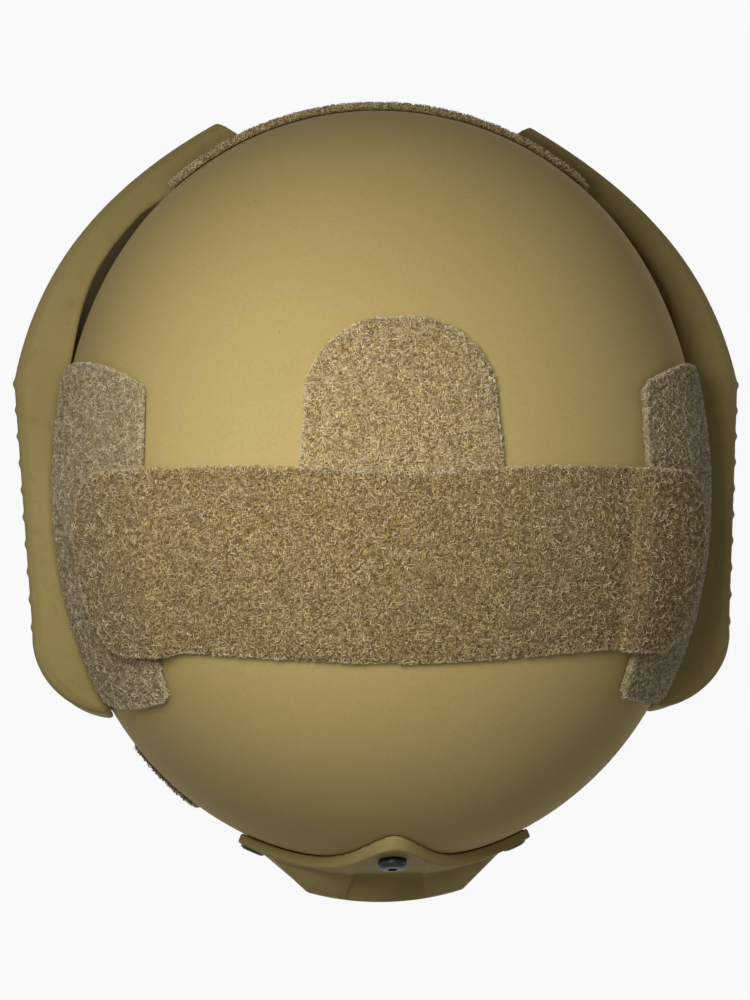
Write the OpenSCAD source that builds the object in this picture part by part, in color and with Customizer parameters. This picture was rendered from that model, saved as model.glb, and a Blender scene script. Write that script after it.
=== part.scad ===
// High-cut combat helmet with its rails, front mount, loop patches, pads, fit adjuster and harness.
// It stands on its rim: +Z is up, the brow faces -Y, and +X is the wearer's left.

/* [Shell] */
// Width of the shell at its widest height
shell_w = 228; // [216:1:240]
// Length of the shell at its widest height
shell_l = 267; // [256:1:280]
// Height of the crown above the surface that the helmet stands on
shell_h = 165; // [156:1:174]
// Height of the widest line
widest_z = 55; // [50:1:60]
// Wall of the shell
shell_wall = 8; // [7:0.5:10]
// How far the crown sits behind the middle
crown_shift = 3.6; // [0:0.2:8]
// Height of the cut over the ears
ear_cut = 57; // [50:1:60]
// Arch of the brow edge
brow_arch = 5; // [0:0.5:8]

/* [Edge trim] */
// Wall of the rubber channel
trim_wall = 1.8; // [1.2:0.1:2.4]
// Height of the channel's legs
trim_leg = 8; // [6:0.5:10]

/* [Rails] */
// How far a rail's face stands outside the shell, beside the ears
rail_out = 10.2; // [8.5:0.1:12]
// Height of a rail's middle line
rail_z = 74; // [72:0.5:76]
// Height of a rail's band
rail_h = 28; // [26:0.5:30]
// Depth of the dovetail channel
channel_depth = 3.2; // [2.4:0.1:4]
// Height of the channel's mouth
channel_mouth = 14; // [12:0.5:15]
// Number of index ridges
ridge_count = 10; // [6:1:12]
// Distance between index ridges
ridge_pitch = 9.4; // [8:0.1:10]
// How far a ridge stands out
ridge_out = 0.6; // [0.5:0.1:1.5]
// Widest gap behind a rail's rear wing
wing_gap = 4.3; // [2:0.1:6]

/* [Front mount] */
// Half the width of the mount's plate, as an angle round the shell
mount_half_a = 22; // [21:0.5:24]
// Thickness of the plate in the middle
mount_plate = 4.4; // [4.2:0.1:5]
// Height of the plate's centre peak above the standing surface
mount_top = 105.3; // [102.3:0.5:108.3]
// How far the socket block stands in front of the shell
block_out = 12.5; // [11:0.1:15]
// Width of the socket's mouth
socket_mouth = 17; // [14:0.5:18]
// Width of the socket's floor
socket_floor = 21; // [19:0.5:23]
// Height of the socket
socket_h = 32; // [24:1:34]

/* [Fasteners] */
// Radius of the screws' shanks
screw_r = 2.4; // [2:0.1:2.8]
// Radius of the button heads
head_r = 4.6; // [4.2:0.1:5]
// Height of the button heads
head_h = 2.9; // [2.4:0.1:3.1]
// Wall of a post nut's barrel
barrel_wall = 1; // [0.8:0.1:1.2]
// Radius of a post nut's flange
flange_r = 6; // [5:0.2:7]

/* [Loop patches] */
// Thickness of a patch with its pile
patch_t = 3; // [2:0.1:4]

/* [Pads] */
// Thickness of a pad
pad_t = 18; // [12:0.5:20]
// Thickness of the hook discs that hold the pads
disc_t = 1.2; // [0.8:0.1:1.4]

/* [Harness] */
// Width of the webbing
web_w = 20; // [16:0.5:22]
// Thickness of the webbing
web_t = 1.6; // [1.2:0.1:2]
// How far the chin straps hang inside the shell's width, beside the ears
strap_in = 30; // [26:0.5:34]
// How far the released half of the buckle pulls out
buckle_pull = 18; // [16:0.5:19]
// Width of the chin cup
cup_w = 66; // [56:1:76]

/* [Fit adjuster] */
// How far the nape cradle stands inside the shell's rear
cradle_in = 35.5; // [34:0.5:39]
// Height of the nape cradle
cradle_h = 34; // [28:1:36]
// Radius of the adjuster's knob
knob_r = 15; // [12:0.5:16]
// Radius of the laces
lace_r = 0.9; // [0.7:0.1:1.1]

/* [Hidden] */

tan_paint = [0.62, 0.55, 0.37];
tan_plastic = [0.57, 0.50, 0.33];
loop_brown = [0.56, 0.49, 0.36];
web_tan = [0.50, 0.44, 0.31];
pad_grey = [0.22, 0.21, 0.18];
black = [0.09, 0.09, 0.08];

// clearances
soft_gap = 0.3; // a soft piece and what it lies on
rim_gap = 0.5; // the rubber channel and the shell
bore_gap = 0.3; // a screw or barrel in its hole
thread_gap = 0.05; // a screw in its nut
slide_gap = 0.25; // a sliding plastic piece on its guide
turn_gap = 0.05; // the knob's spindle in its bore

// shape of the shell
plan_square = 0.6; // how far the plan leans to a rounded square
fullness = 0.03; // how full the shoulders are
skirt_drop = 150; // depth of the curve below the widest line
mean_r = (shell_w + shell_l) / 4 + plan_square;
plan_stretch = (shell_l - shell_w) / 4;
shell_front = shell_l / 2;
crown_rise = shell_h - widest_z;
shell_columns = 90;
shell_rings = 12;
brow_end = 34; // where the brow's arch ends, as an angle from the front
temple_end = 52; // where the rim starts to climb
ear_front = 80; // where the ear cut starts
ear_rear = 112; // where it ends
nape_start = 152; // where the rim is down again

function plan_r(a) = mean_r + plan_stretch * cos(2 * a) - plan_square * cos(4 * a);
function bulge(p) = (sin(p) + fullness * sin(3 * p)) / (1 - fullness);
function rise(p) = (cos(p) - fullness * cos(3 * p)) / (1 - fullness);

// A point of the shell's surface: azimuth from the front, angle from the crown, distance outwards.
function shell_point(a, p, off) =
    let (r = (plan_r(a) + off) * bulge(p))
    let (h = rise(p))
    [r * sin(a),
     crown_shift * pow(max(h, 0), 2) - r * cos(a),
     widest_z + (h > 0 ? crown_rise + off : skirt_drop + off) * h];

// The same by height: the angle from the crown is found in a few steps.
function cosine_for(h, c, steps) =
    steps == 0 ? c
    : cosine_for(h,
        c - ((1 + 3 * fullness) * c - 4 * fullness * pow(c, 3) - (1 - fullness) * h)
          / (1 + 3 * fullness - 12 * fullness * c * c),
        steps - 1);
function polar_at(z, off) =
    let (h = (z - widest_z) / ((z > widest_z ? crown_rise : skirt_drop) + off))
    acos(cosine_for(h, 0.92 * h, 5));
function at_height(a, z, off) = shell_point(a, polar_at(z, off), off);
function radius_at(a, z) = (plan_r(a)) * bulge(polar_at(z, 0));
function tilt_at(a, z) = atan((radius_at(a, z - 1) - radius_at(a, z + 1)) / 2);
function lean_at(a) = atan((plan_r(a - 1) - plan_r(a + 1)) / (2 * plan_r(a) * PI / 180));

// The same by direction: degrees to the side and degrees forwards, both from the crown.
function by_direction(side, forward, off) =
    let (n = [sin(side) * cos(forward), sin(forward), cos(side) * cos(forward)])
    shell_point(atan2(n[0], n[1]), acos(n[2]), off);

// Height of the rim's underside.
function wave(from, to, x) = (1 - cos(180 * min(max((x - from) / (to - from), 0), 1))) / 2;
function rim_z(a) =
    let (m = abs(a > 180 ? a - 360 : a))
    m < temple_end ? brow_arch * (1 - wave(0, brow_end, m))
    : ear_cut * (wave(temple_end, ear_front, m) - wave(ear_rear, nape_start, m));
function rim_slope(a) = (rim_z(a + 1) - rim_z(a - 1)) / (2 * mean_r * PI / 180);
function steepness(a) = sqrt(1 + pow(rim_slope(a), 2));

// Turns a grid of outer points and one of inner points into a closed skin.
function flat(rows) = [for (row = rows) for (point = row) point];
function quad(a, b, c, d) = [[a, b, c], [a, c, d]];
module skin(outer, inner) {
    n = len(outer);
    m = len(outer[0]);
    s = n * m;
    faces = flat([
        for (i = [0:n - 2]) for (j = [0:m - 2])
            quad(i * m + j, i * m + j + 1, (i + 1) * m + j + 1, (i + 1) * m + j),
        for (i = [0:n - 2]) for (j = [0:m - 2])
            quad(s + i * m + j, s + (i + 1) * m + j, s + (i + 1) * m + j + 1, s + i * m + j + 1),
        for (j = [0:m - 2]) quad(j, s + j, s + j + 1, j + 1),
        for (j = [0:m - 2])
            quad((n - 1) * m + j, (n - 1) * m + j + 1, s + (n - 1) * m + j + 1, s + (n - 1) * m + j),
        for (i = [0:n - 2]) quad(i * m, (i + 1) * m, s + (i + 1) * m, s + i * m),
        for (i = [0:n - 2])
            quad(i * m + m - 1, s + i * m + m - 1, s + (i + 1) * m + m - 1, (i + 1) * m + m - 1)
    ]);
    polyhedron(concat(flat(outer), flat(inner)), faces);
}

// Joins rings of points into a tube: a closed loop of rings, or a run with both ends capped.
module tube(rings, closed) {
    n = len(rings);
    m = len(rings[0]);
    last = closed ? n - 1 : n - 2;
    walls = flat([
        for (i = [0:last]) for (j = [0:m - 1])
            let (k = (i + 1) % n)
            let (l = (j + 1) % m)
            quad(i * m + j, i * m + l, k * m + l, k * m + j)
    ]);
    caps = closed ? [] : concat(
        [for (j = [0:m - 1]) [n * m, (j + 1) % m, j]],
        [for (j = [0:m - 1]) [n * m + 1, (n - 1) * m + j, (n - 1) * m + (j + 1) % m]]);
    middles = closed ? [] : [middle(rings[0]), middle(rings[n - 1])];
    polyhedron(concat(flat(rings), middles), concat(walls, caps));
}
function sum(list, i = 0) = i == len(list) - 1 ? list[i] : list[i] + sum(list, i + 1);
function middle(points) = sum(points) / len(points);

// Puts a child on the shell with its +Z along the outward normal.
module on_shell(a, z, off) {
    translate(at_height(a, z, 0)) rotate([90 - tilt_at(a, z), 0, a + lean_at(a)])
        translate([0, 0, off]) children();
}

// shell
function rim_polar(a, off) = polar_at(rim_z(a) + (trim_wall + rim_gap) * steepness(a), off);
module shell_blank() {
    n = shell_columns;
    k = shell_rings;
    outer = [for (i = [1:k]) for (j = [0:n - 1])
        shell_point(j * 360 / n, rim_polar(j * 360 / n, 0) * i / k, 0)];
    inner = [for (i = [1:k]) for (j = [0:n - 1])
        shell_point(j * 360 / n, rim_polar(j * 360 / n, -shell_wall) * i / k, -shell_wall)];
    s = n * k;
    walls = flat([
        for (i = [0:k - 2]) for (j = [0:n - 1])
            let (l = (j + 1) % n)
            quad(i * n + j, i * n + l, (i + 1) * n + l, (i + 1) * n + j),
        for (i = [0:k - 2]) for (j = [0:n - 1])
            let (l = (j + 1) % n)
            quad(s + i * n + j, s + (i + 1) * n + j, s + (i + 1) * n + l, s + i * n + l),
        for (j = [0:n - 1])
            let (l = (j + 1) % n)
            quad(s - n + j, s - n + l, 2 * s - n + l, 2 * s - n + j)
    ]);
    tops = [for (j = [0:n - 1]) [2 * s, (j + 1) % n, j]];
    bottoms = [for (j = [0:n - 1]) [2 * s + 1, s + j, s + (j + 1) % n]];
    polyhedron(concat(outer, inner, [shell_point(0, 0, 0), shell_point(0, 0, -shell_wall)]),
        concat(walls, tops, bottoms));
}
module shell() {
    color(tan_paint) difference() {
        shell_blank();
        for (b = concat(mount_bolts, rail_bolts))
            on_shell(b[0], b[1], -shell_wall - 4)
                cylinder(r = barrel_r + bore_gap, h = shell_wall + 8, $fn = 32);
    }
}

// rubber channel round the rim
module edge_trim() {
    o = rim_gap + trim_wall;
    inside = -shell_wall;
    soften = 0.7;
    floor_z = trim_wall;
    section = [[rim_gap, floor_z + trim_leg], [rim_gap, floor_z], [inside - rim_gap, floor_z],
        [inside - rim_gap, floor_z + trim_leg], [inside - o, floor_z + trim_leg], [inside - o, soften],
        [inside - o + soften, 0], [o - soften, 0], [o, soften], [o, floor_z + trim_leg]];
    color(tan_plastic) tube([for (j = [0:shell_columns - 1])
        let (a = j * 360 / shell_columns)
        [for (q = section) at_height(a, rim_z(a) + q[1] * steepness(a), q[0])]], true);
}

// fasteners: azimuth, height, seat of the head above the shell
barrel_r = screw_r + thread_gap + barrel_wall;
recess_floor = mount_plate - 1;
ear_seat = mount_plate - 2.9;
mount_bolts = [[0, mount_top - 13.3, recess_floor], [19.5, 55, ear_seat], [-19.5, 55, ear_seat]];
front_seat = 7.5;
rear_seat = 9;
rail_bolts = [[60, 66, front_seat], [152, 64, rear_seat], [-60, 66, front_seat], [-152, 64, rear_seat]];
barrel_in = 2; // how far below the outer face a barrel ends
flange_t = 1.2;
seat_gap = 0.2;

module button_screw(shank) {
    socket_r = 1.75;
    difference() {
        union() {
            rotate_extrude($fn = 48) polygon([[0, 0], [head_r, 0], [head_r, head_h * 0.5],
                [head_r * 0.95, head_h * 0.74], [head_r * 0.84, head_h * 0.91], [head_r * 0.66, head_h],
                [0, head_h]]);
            translate([0, 0, -shank]) cylinder(r = screw_r, h = shank + 0.1, $fn = 32);
        }
        translate([0, 0, head_h - 1.6]) cylinder(r = socket_r, h = 2, $fn = 6);
    }
}
module post_nut(under) {
    barrel_l = shell_wall + under - barrel_in;
    difference() {
        union() {
            translate([0, 0, -flange_t]) cylinder(r = flange_r, h = flange_t, $fn = 48);
            translate([0, 0, -0.1]) cylinder(r = barrel_r, h = barrel_l + 0.1, $fn = 32);
        }
        translate([0, 0, -flange_t - 1]) cylinder(r = screw_r + thread_gap, h = barrel_l + 4, $fn = 32);
    }
}
module screws(bolts) {
    color(black) for (b = bolts)
        on_shell(b[0], b[1], 0) translate([0, 0, b[2] + seat_gap])
            button_screw(b[2] + seat_gap + shell_wall - 1);
}
module nuts(bolts, under) {
    color(black) for (b = bolts)
        on_shell(b[0], b[1], 0) translate([0, 0, -shell_wall - under]) post_nut(under);
}
module shroud_screws() screws(mount_bolts);
module shroud_nuts() nuts(mount_bolts, 3.5 * soft_gap);
module rail_screws() screws(rail_bolts);
module rail_nuts() nuts(rail_bolts, web_t + 3 * soft_gap);

// front mount
function mount_x(a) = sin(a) / sin(mount_half_a);
function mount_upper(a) =
    let (x = mount_x(a))
    62 + 10 * (1 - x * x) + (mount_top - 72) * exp(-pow(mean_r * sin(a) / 16, 2));
function mount_lower(a) = 24 + 20 * pow(max(abs(mount_x(a)) - 0.55, 0) / 0.45, 1.5);
function mount_face(a) = mount_plate - 0.9 * pow(mount_x(a), 2);
block_reach = shell_front + block_out; // distance from the middle to the block's front
// The socket block rises out of the plate: half width at the plate, half width at its front and
// setback of its front, each by height.
block_foot = [[22, 38], [29, 42], [50, 44], [61, 42], [71, 34], [74, 20]];
block_front = [[22, 22], [29, 26.2], [50, 27], [59, 26.4], [63, 25.4], [72, 19]];
block_setback = [[22, 6], [29, 1.6], [50, 0.8], [57, 0], [60.5, 0.6], [71, 8.2], [75, 18]];
block_root = shell_front - 6; // how far forwards its side walls start
block_round = 3.5; // how far its front curves back at the corners
function block_r(a, z) =
    let (foot = lookup(z, block_foot))
    let (front = lookup(z, block_front))
    let (reach = block_reach - lookup(z, block_setback))
    let (corner = reach - block_round)
    let (side = (foot * corner - block_root * front)
        / ((corner - block_root) * sin(a) - (front - foot) * cos(a)))
    min((reach - block_round * pow(reach * tan(a) / front, 2)) / cos(a), side);
function mount_outer(a, z) =
    let (p = at_height(a, z, mount_face(a)))
    let (k = max(1, block_r(abs(a), z) / norm([p[0], p[1]])))
    [k * p[0], k * p[1], z];
module mount_blank() {
    columns = 32;
    rows = 11;
    angles = [for (i = [0:columns]) mount_half_a * (2 * i / columns - 1)];
    function height(a, j) = mount_lower(a) + (mount_upper(a) - mount_lower(a)) * j / rows;
    skin([for (j = [rows:-1:0]) [for (a = angles) mount_outer(a, height(a, j))]],
        [for (j = [rows:-1:0]) [for (a = angles) at_height(a, height(a, j), soft_gap)]]);
}
// Above the socket a shelf is cut into the block. Behind it the plate is thinned up to its peak,
// where the middle screw sits.
shelf_back = [shell_front + 2.6, 65]; // reach and height where the shelf meets the plate
shelf_front = [shell_front + 11.3, 59];
thin_half_a = 4.8; // half width of the thinned part, as an angle
thin_rim = 1.6; // height of the rim that is left over it
module shelf_cut() {
    far = block_reach + 14;
    fall = (shelf_back[1] - shelf_front[1]) / (shelf_front[0] - shelf_back[0]);
    wall_line = [for (z = [82, 92, 103]) [at_height(0, z, recess_floor)[1], z]];
    thin_angles = [-thin_half_a:0.6:thin_half_a + 0.1];
    thin_x = (shell_front - 2) * sin(thin_half_a);
    intersection() {
        rotate([90, 0, 90]) linear_extrude(height = 60, center = true)
            polygon(concat([[-shelf_back[0], shelf_back[1]]], wall_line,
                [[-far, 103], [-far, shelf_back[1] - fall * (far - shelf_back[0])]]));
        union() {
            translate([0, 0, 40]) linear_extrude(height = 40, scale = [1.25, 1])
                polygon([for (q = [[-9.2, 3], [9.2, 3], [12.6, -12], [16, -28], [-16, -28], [-12.6, -12]])
                    [q[0], q[1] - shell_front]]);
            rotate([90, 0, 0]) linear_extrude(height = far)
                polygon(concat([[-thin_x, shelf_front[1]]],
                    [for (a = thin_angles) [(shell_front - 2) * sin(a), mount_upper(a) - thin_rim]],
                    [[thin_x, shelf_front[1]]]));
        }
    }
}
module socket_cut() {
    floor_y = 9 - block_reach;
    linear_extrude(height = 24 + socket_h)
        polygon([[-socket_floor / 2, floor_y], [socket_floor / 2, floor_y],
            [socket_mouth / 2, -block_reach - 1], [-socket_mouth / 2, -block_reach - 1]]);
}
module shroud() {
    color(tan_plastic) difference() {
        mount_blank();
        shelf_cut();
        socket_cut();
        for (b = mount_bolts)
            on_shell(b[0], b[1], -2) cylinder(r = screw_r + bore_gap, h = 30, $fn = 32);
        for (b = mount_bolts)
            on_shell(b[0], b[1], b[2]) cylinder(r = head_r + bore_gap, h = 30, $fn = 48);
    }
}

// rails
rail_reach = shell_w / 2 + rail_out; // distance from the middle to a rail's face
rail_taper = 0.1035; // how much the straight faces open towards the back
rail_front_a = 49;
rail_knee_a = 104;
rail_rear_a = 157;
rail_end_a = 162.5; // the wing's blank ends here and is cut slanting at its tip
rail_tip_a = 156.6;
rail_end_turn = 34.5; // the cut's angle in the plan
corner_a = 58.7; // middle of the rounded front corner, as an angle
corner_d = rail_reach - 16.5; // and its distance from the middle
corner_r = 26.5;
ridge_first_y = 31;
function rail_line(a) = rail_reach / (sin(a) + rail_taper * cos(a));
function rail_corner(a) =
    corner_d * cos(a - corner_a) + sqrt(pow(corner_r, 2) - pow(corner_d * sin(a - corner_a), 2));
function rail_wing(a) =
    let (t = (a - rail_knee_a) / (rail_rear_a - rail_knee_a))
    rail_line(rail_knee_a) + 16.4 * t - 1.2 * sin(180 * t);
function rail_face(a) = a < 65 ? rail_corner(a) : a > rail_knee_a ? rail_wing(a) : rail_line(a);
function rail_mid(a) = rail_z - 6 * (1 - wave(46, 64, a)) - 8 * wave(112, rail_rear_a, a);
function rail_half(a) = rail_h / 2 - 3 * (1 - wave(46, 60, a)) - 3 * wave(120, rail_rear_a, a);
function rail_gap(a) = 0.4 + (wing_gap - 0.4) * (wave(106, 128, a) - wave(138, 149, a));
function trim_top(a) = rim_z(a) + (trim_wall + trim_leg) * steepness(a);
// Behind its lower edge the rail is stepped back over the rubber channel.
function rail_ledge(a) =
    max(rail_gap(a), (trim_wall + rim_gap + soft_gap) * (wave(60, 70, a) - wave(134, 142, a)));
function channel_at(a) = 0.15 + (channel_depth - 0.15) * (wave(61, 66, a) - wave(105, 111, a));
function rail_ring(a, out) =
    let (f = rail_face(a))
    let (z = rail_mid(a))
    let (h = rail_half(a))
    let (c = channel_at(a))
    let (mouth = channel_mouth / 2)
    let (undercut = mouth - 1.2 + 2.5 * c / channel_depth)
    let (deep = f - plan_r(a) - rail_ledge(a))
    let (k = min(4, deep / 2))
    let (l = min(1.5, deep / 4))
    let (outer = [[f - k, -h], [f - 0.28 * k, 1.5 - h], [f + out, 3.4 - h], [f + out, -mouth],
        [f - c, -undercut], [f - c, undercut], [f + out, mouth], [f + out, h - 3.4],
        [f - 0.28 * k, h - 1.5], [f - k, h]])
    let (g = rail_gap(a))
    let (ledge = min(max(trim_top(a) + soft_gap, z - h + 2), z - 2))
    concat(
        [at_height(a, ledge, rail_ledge(a)), at_height(a, z - h + 1, rail_ledge(a)),
         at_height(a, z - h, rail_ledge(a) + l)],
        [for (q = outer) [q[0] * sin(a), -q[0] * cos(a), z + q[1]]],
        [at_height(a, z + h, g + l), at_height(a, z + h - 1, g), at_height(a, z + h / 3, g),
         at_height(a, ledge + 0.5, g)]);
function ridge_a(y) = atan2(rail_reach + rail_taper * y, -y);
module rail_blank() {
    ridges = [for (k = [ridge_count - 1:-1:0]) for (s = [[-1.5, 0], [-0.6, 1], [0.6, 1], [1.5, 0]])
        [ridge_a(ridge_first_y - k * ridge_pitch + s[0]), s[1] * ridge_out]];
    front = [for (a = [rail_front_a:2.25:64.8]) [a, 0]];
    rear = [for (t = [0:16]) [107 + (rail_end_a - 107) * t / 16, 0]];
    tube([for (s = concat(front, ridges, rear)) rail_ring(s[0], s[1])], false);
}
module rail_end_cut() {
    r = rail_face(rail_tip_a) - 0.6;
    translate([r * sin(rail_tip_a), -r * cos(rail_tip_a), rail_z - 40]) rotate([0, 0, rail_end_turn])
        translate([-40, 0, 0]) cube([80, 40, 80]);
}
module rail_left() {
    color(tan_plastic) difference() {
        rail_blank();
        for (b = rail_bolts) if (b[0] > 0) {
            on_shell(b[0], b[1], -2) cylinder(r = screw_r + bore_gap, h = 40, $fn = 32);
            on_shell(b[0], b[1], b[2]) cylinder(r = head_r + bore_gap, h = 30, $fn = 48);
        }
        rail_end_cut();
    }
}
module rail_right() mirror([1, 0, 0]) rail_left();

// loop patches on the crown, placed by side and forward angles
strip_end = 55; // side angle of the strip's ends
strip_round = 9; // length of the round end
strip_from = 9.5;
strip_to = 31.5;
side_from = 39.4; // side angle of the side patches' upper edge
function strip_lift(side) = (patch_t + 2 * soft_gap) * wave(side_from - 4.5, side_from - 1, abs(side));
function strip_point(u, v, t) =
    let (side = strip_end * u)
    let (inset = max(abs(side) - strip_end + strip_round, 0) / strip_round)
    let (half = (strip_to - strip_from) / 2 * sqrt(1 - 0.95 * inset * inset))
    let (bend = 1.5 * pow(side / 38, 2))
    by_direction(side, (strip_to + strip_from) / 2 - bend * (1 - v) / 2 + half * v,
        soft_gap + strip_lift(side) + t);
module patch_top_strip() {
    ramp = [for (d = [1, 2.75, 4.5]) (side_from - d) / strip_end];
    ends = concat([1, 0.985, 0.95, 0.9, 0.85, 0.78], ramp);
    us = concat([for (u = ends) -u], [for (k = [-7:7]) k / 12],
        [for (k = [len(ends) - 1:-1:0]) ends[k]]);
    color(loop_brown) skin([for (v = [-1:0.25:1]) [for (u = us) strip_point(u, v, patch_t)]],
        [for (v = [-1:0.25:1]) [for (u = us) strip_point(u, v, 0)]]);
}
tab_half = 12.5;
tab_back = -8.8;
tab_front = strip_from - 0.4;
module patch_crown() {
    function tab(u, v, t) =
        let (forward = tab_front + (tab_back - tab_front) * v)
        let (inset = max(v - 0.5, 0) / 0.5)
        by_direction(tab_half * u * sqrt(1 - 0.93 * inset * inset), forward, soft_gap + t);
    vs = [0, 0.17, 0.34, 0.5, 0.62, 0.73, 0.83, 0.91, 0.97, 1];
    color(loop_brown) skin([for (v = vs) [for (u = [1:-0.25:-1]) tab(u, v, patch_t)]],
        [for (v = vs) [for (u = [1:-0.25:-1]) tab(u, v, 0)]]);
}
// A patch or disc with round corners: middle, half sizes and how round, in the crown's directions.
function round_map(u, v, k) = [u * sqrt(1 - k * v * v), v * sqrt(1 - k * u * u)];
side_half = [15.7, 25.4];
side_mid = [side_from + side_half[0], 14.5]; // side and forward angles of the side patches
side_corner = [0.08, 0.05]; // radius of their corners, as parts of the half sizes
module patch_side_left() {
    function narrowing(v) =
        side_corner[0] * (1 - sqrt(1 - pow(max(abs(v) - 1 + side_corner[1], 0) / side_corner[1], 2)));
    function side(u, v, t) =
        let (q = round_map(u * (1 - narrowing(v)), v, 0.12))
        by_direction(side_mid[0] + side_half[0] * q[0] + 2 * q[1],
            side_mid[1] + side_half[1] * q[1] - 5.5 * q[0] * (1 - q[1]) / 2, 1.5 * soft_gap + t);
    across = [-1, -0.93, -0.75, -0.45, -0.15, 0.15, 0.45, 0.75, 0.93, 1];
    end_steps = [1, 0.9965, 0.985, 0.968, 0.95];
    along = concat([for (v = end_steps) -v], [for (v = [-0.75:0.3:0.76]) v],
        [for (k = [len(end_steps) - 1:-1:0]) end_steps[k]]);
    color(loop_brown) skin([for (v = along) [for (u = across) side(u, v, patch_t)]],
        [for (v = along) [for (u = across) side(u, v, 0)]]);
}
module patch_side_right() mirror([1, 0, 0]) patch_side_left();

// Pieces round the shell's sides: middle azimuth and polar angle, half sizes, roundness.
function round_point(spot, u, v, off) =
    let (q = round_map(u, v, spot[4]))
    shell_point(spot[0] + spot[2] * q[0], spot[1] + spot[3] * q[1], off);
module round_patch(spot, columns, rows) {
    us = [for (i = [0:columns]) 1 - 2 * i / columns];
    vs = [for (i = [0:rows]) 1 - 2 * i / rows];
    color(loop_brown) skin(
        [for (v = vs) [for (u = us) round_point(spot, u, v, soft_gap + patch_t)]],
        [for (v = vs) [for (u = us) round_point(spot, u, v, soft_gap)]]);
}
module patch_rear() round_patch([180, 68.5, 36.5, 6, 0.15], 18, 4);
module patch_front_left() round_patch([37.5, 100, 7, 5, 0.2], 5, 4);
module patch_front_right() mirror([1, 0, 0]) patch_front_left();

// pads and the hook discs behind them
pad_spots = [[0, 85, 27, 14, 0.3], [180, 80, 20, 13, 0.3], [58, 60, 21, 17, 0.35], [-58, 60, 21, 17, 0.35],
    [122, 60, 21, 17, 0.35], [-122, 60, 21, 17, 0.35]];
pad_back = shell_wall + 3.5 * soft_gap + disc_t;
function pad_edge(u, v) = pow(max(abs(u), abs(v)), 4);
function pad_in(u, v) = -pad_back - pad_t * (1 - 0.45 * pad_edge(u, v)) * (1 - 0.06 * (u * u + v * v));
function pad_out(u, v) = -pad_back - 2 * pad_edge(u, v);
pad_steps = [-1, -0.92, -0.7, -0.35, 0, 0.35, 0.7, 0.92, 1];
module pad(spot) {
    color(pad_grey) skin(
        [for (v = pad_steps) [for (u = pad_steps) round_point(spot, -u, -v, pad_out(u, v))]],
        [for (v = pad_steps) [for (u = pad_steps) round_point(spot, -u, -v, pad_in(u, v))]]);
}
crown_pad = 27; // half size of the crown pad, as an angle
module pad_crown() {
    function crown(u, v, off) =
        let (q = round_map(u, v, 0.48))
        by_direction(crown_pad * q[0], crown_pad * q[1], off);
    color(pad_grey) skin([for (v = pad_steps) [for (u = pad_steps) crown(u, v, pad_out(u, v))]],
        [for (v = pad_steps) [for (u = pad_steps) crown(u, v, pad_in(u, v))]]);
}
module pad_front() pad(pad_spots[0]);
module pad_rear() pad(pad_spots[1]);
module pad_side_front_left() pad(pad_spots[2]);
module pad_side_front_right() pad(pad_spots[3]);
module pad_side_rear_left() pad(pad_spots[4]);
module pad_side_rear_right() pad(pad_spots[5]);
disc_half = 5; // half height of a disc, as an angle
module loop_discs() {
    steps = [-1, -0.6, 0, 0.6, 1];
    outside = -shell_wall - 2 * soft_gap;
    color(black) {
        for (s = pad_spots) {
            spot = [s[0], s[1], 9, disc_half, 0.48];
            skin([for (v = steps) [for (u = steps) round_point(spot, -u, -v, outside)]],
                [for (v = steps) [for (u = steps) round_point(spot, -u, -v, outside - disc_t)]]);
        }
        skin([for (v = steps) [for (u = steps)
                let (q = round_map(u, v, 0.48)) by_direction(10 * q[0], 10 * q[1], outside)]],
            [for (v = steps) [for (u = steps)
                let (q = round_map(u, v, 0.48)) by_direction(10 * q[0], 10 * q[1], outside - disc_t)]]);
    }
}

// harness: webbing stands on its edge along a route of points
tab_off = shell_wall + 2 * soft_gap;
tab_l = 24;
tab_top = 8; // how far a tab reaches above its bolt
module anchor_tabs() {
    half_a = (web_w / 2 + 1) / mean_r * 180 / PI;
    columns = [-half_a, -half_a / 2, 0, half_a / 2, half_a];
    color(web_tan) for (b = rail_bolts) difference() {
        skin([for (t = [0:0.2:1]) [for (a = columns)
                at_height(b[0] + a, b[1] + tab_top - tab_l * t, -tab_off)]],
            [for (t = [0:0.2:1]) [for (a = columns)
                at_height(b[0] + a, b[1] + tab_top - tab_l * t, -tab_off - web_t)]]);
        on_shell(b[0], b[1], -tab_off - web_t - 2) cylinder(r = barrel_r + bore_gap, h = web_t + 4, $fn = 32);
    }
}
// Each route point is [x, y, z of the lower edge]; the width is measured square to the run.
function run_of(route, i) = route[min(i + 1, len(route) - 1)] - route[max(i - 1, 0)];
function strap_ring(route, i, wide) =
    let (run = run_of(route, i))
    let (plan = norm([run[0], run[1]]))
    let (side = [-run[1], run[0], 0] / plan * web_t / 2)
    let (up = [0, 0, wide * norm(run) / plan])
    [route[i] + side, route[i] - side, route[i] - side + up, route[i] + side + up];
module strap(route) tube([for (i = [0:len(route) - 1]) strap_ring(route, i, web_w)], false);

strap_x = shell_w / 2 - strap_in;
strap_z = 5.5; // lower edge of the stored chin strap
strap_mid = strap_z + web_w / 2;
junction_y = 44;
junction_t = 3;
junction_l = 16;
arc_r = 35; // bend of the chin strap beside the cup
arc_y = -46; // where the bend starts
cup_y = arc_y - arc_r;
beside = junction_t / 2 + soft_gap + web_t / 2;
function harness_route(top, foot) = [for (t = [0, 0.33, 0.67, 1]) top + t * (foot - top)];
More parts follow.
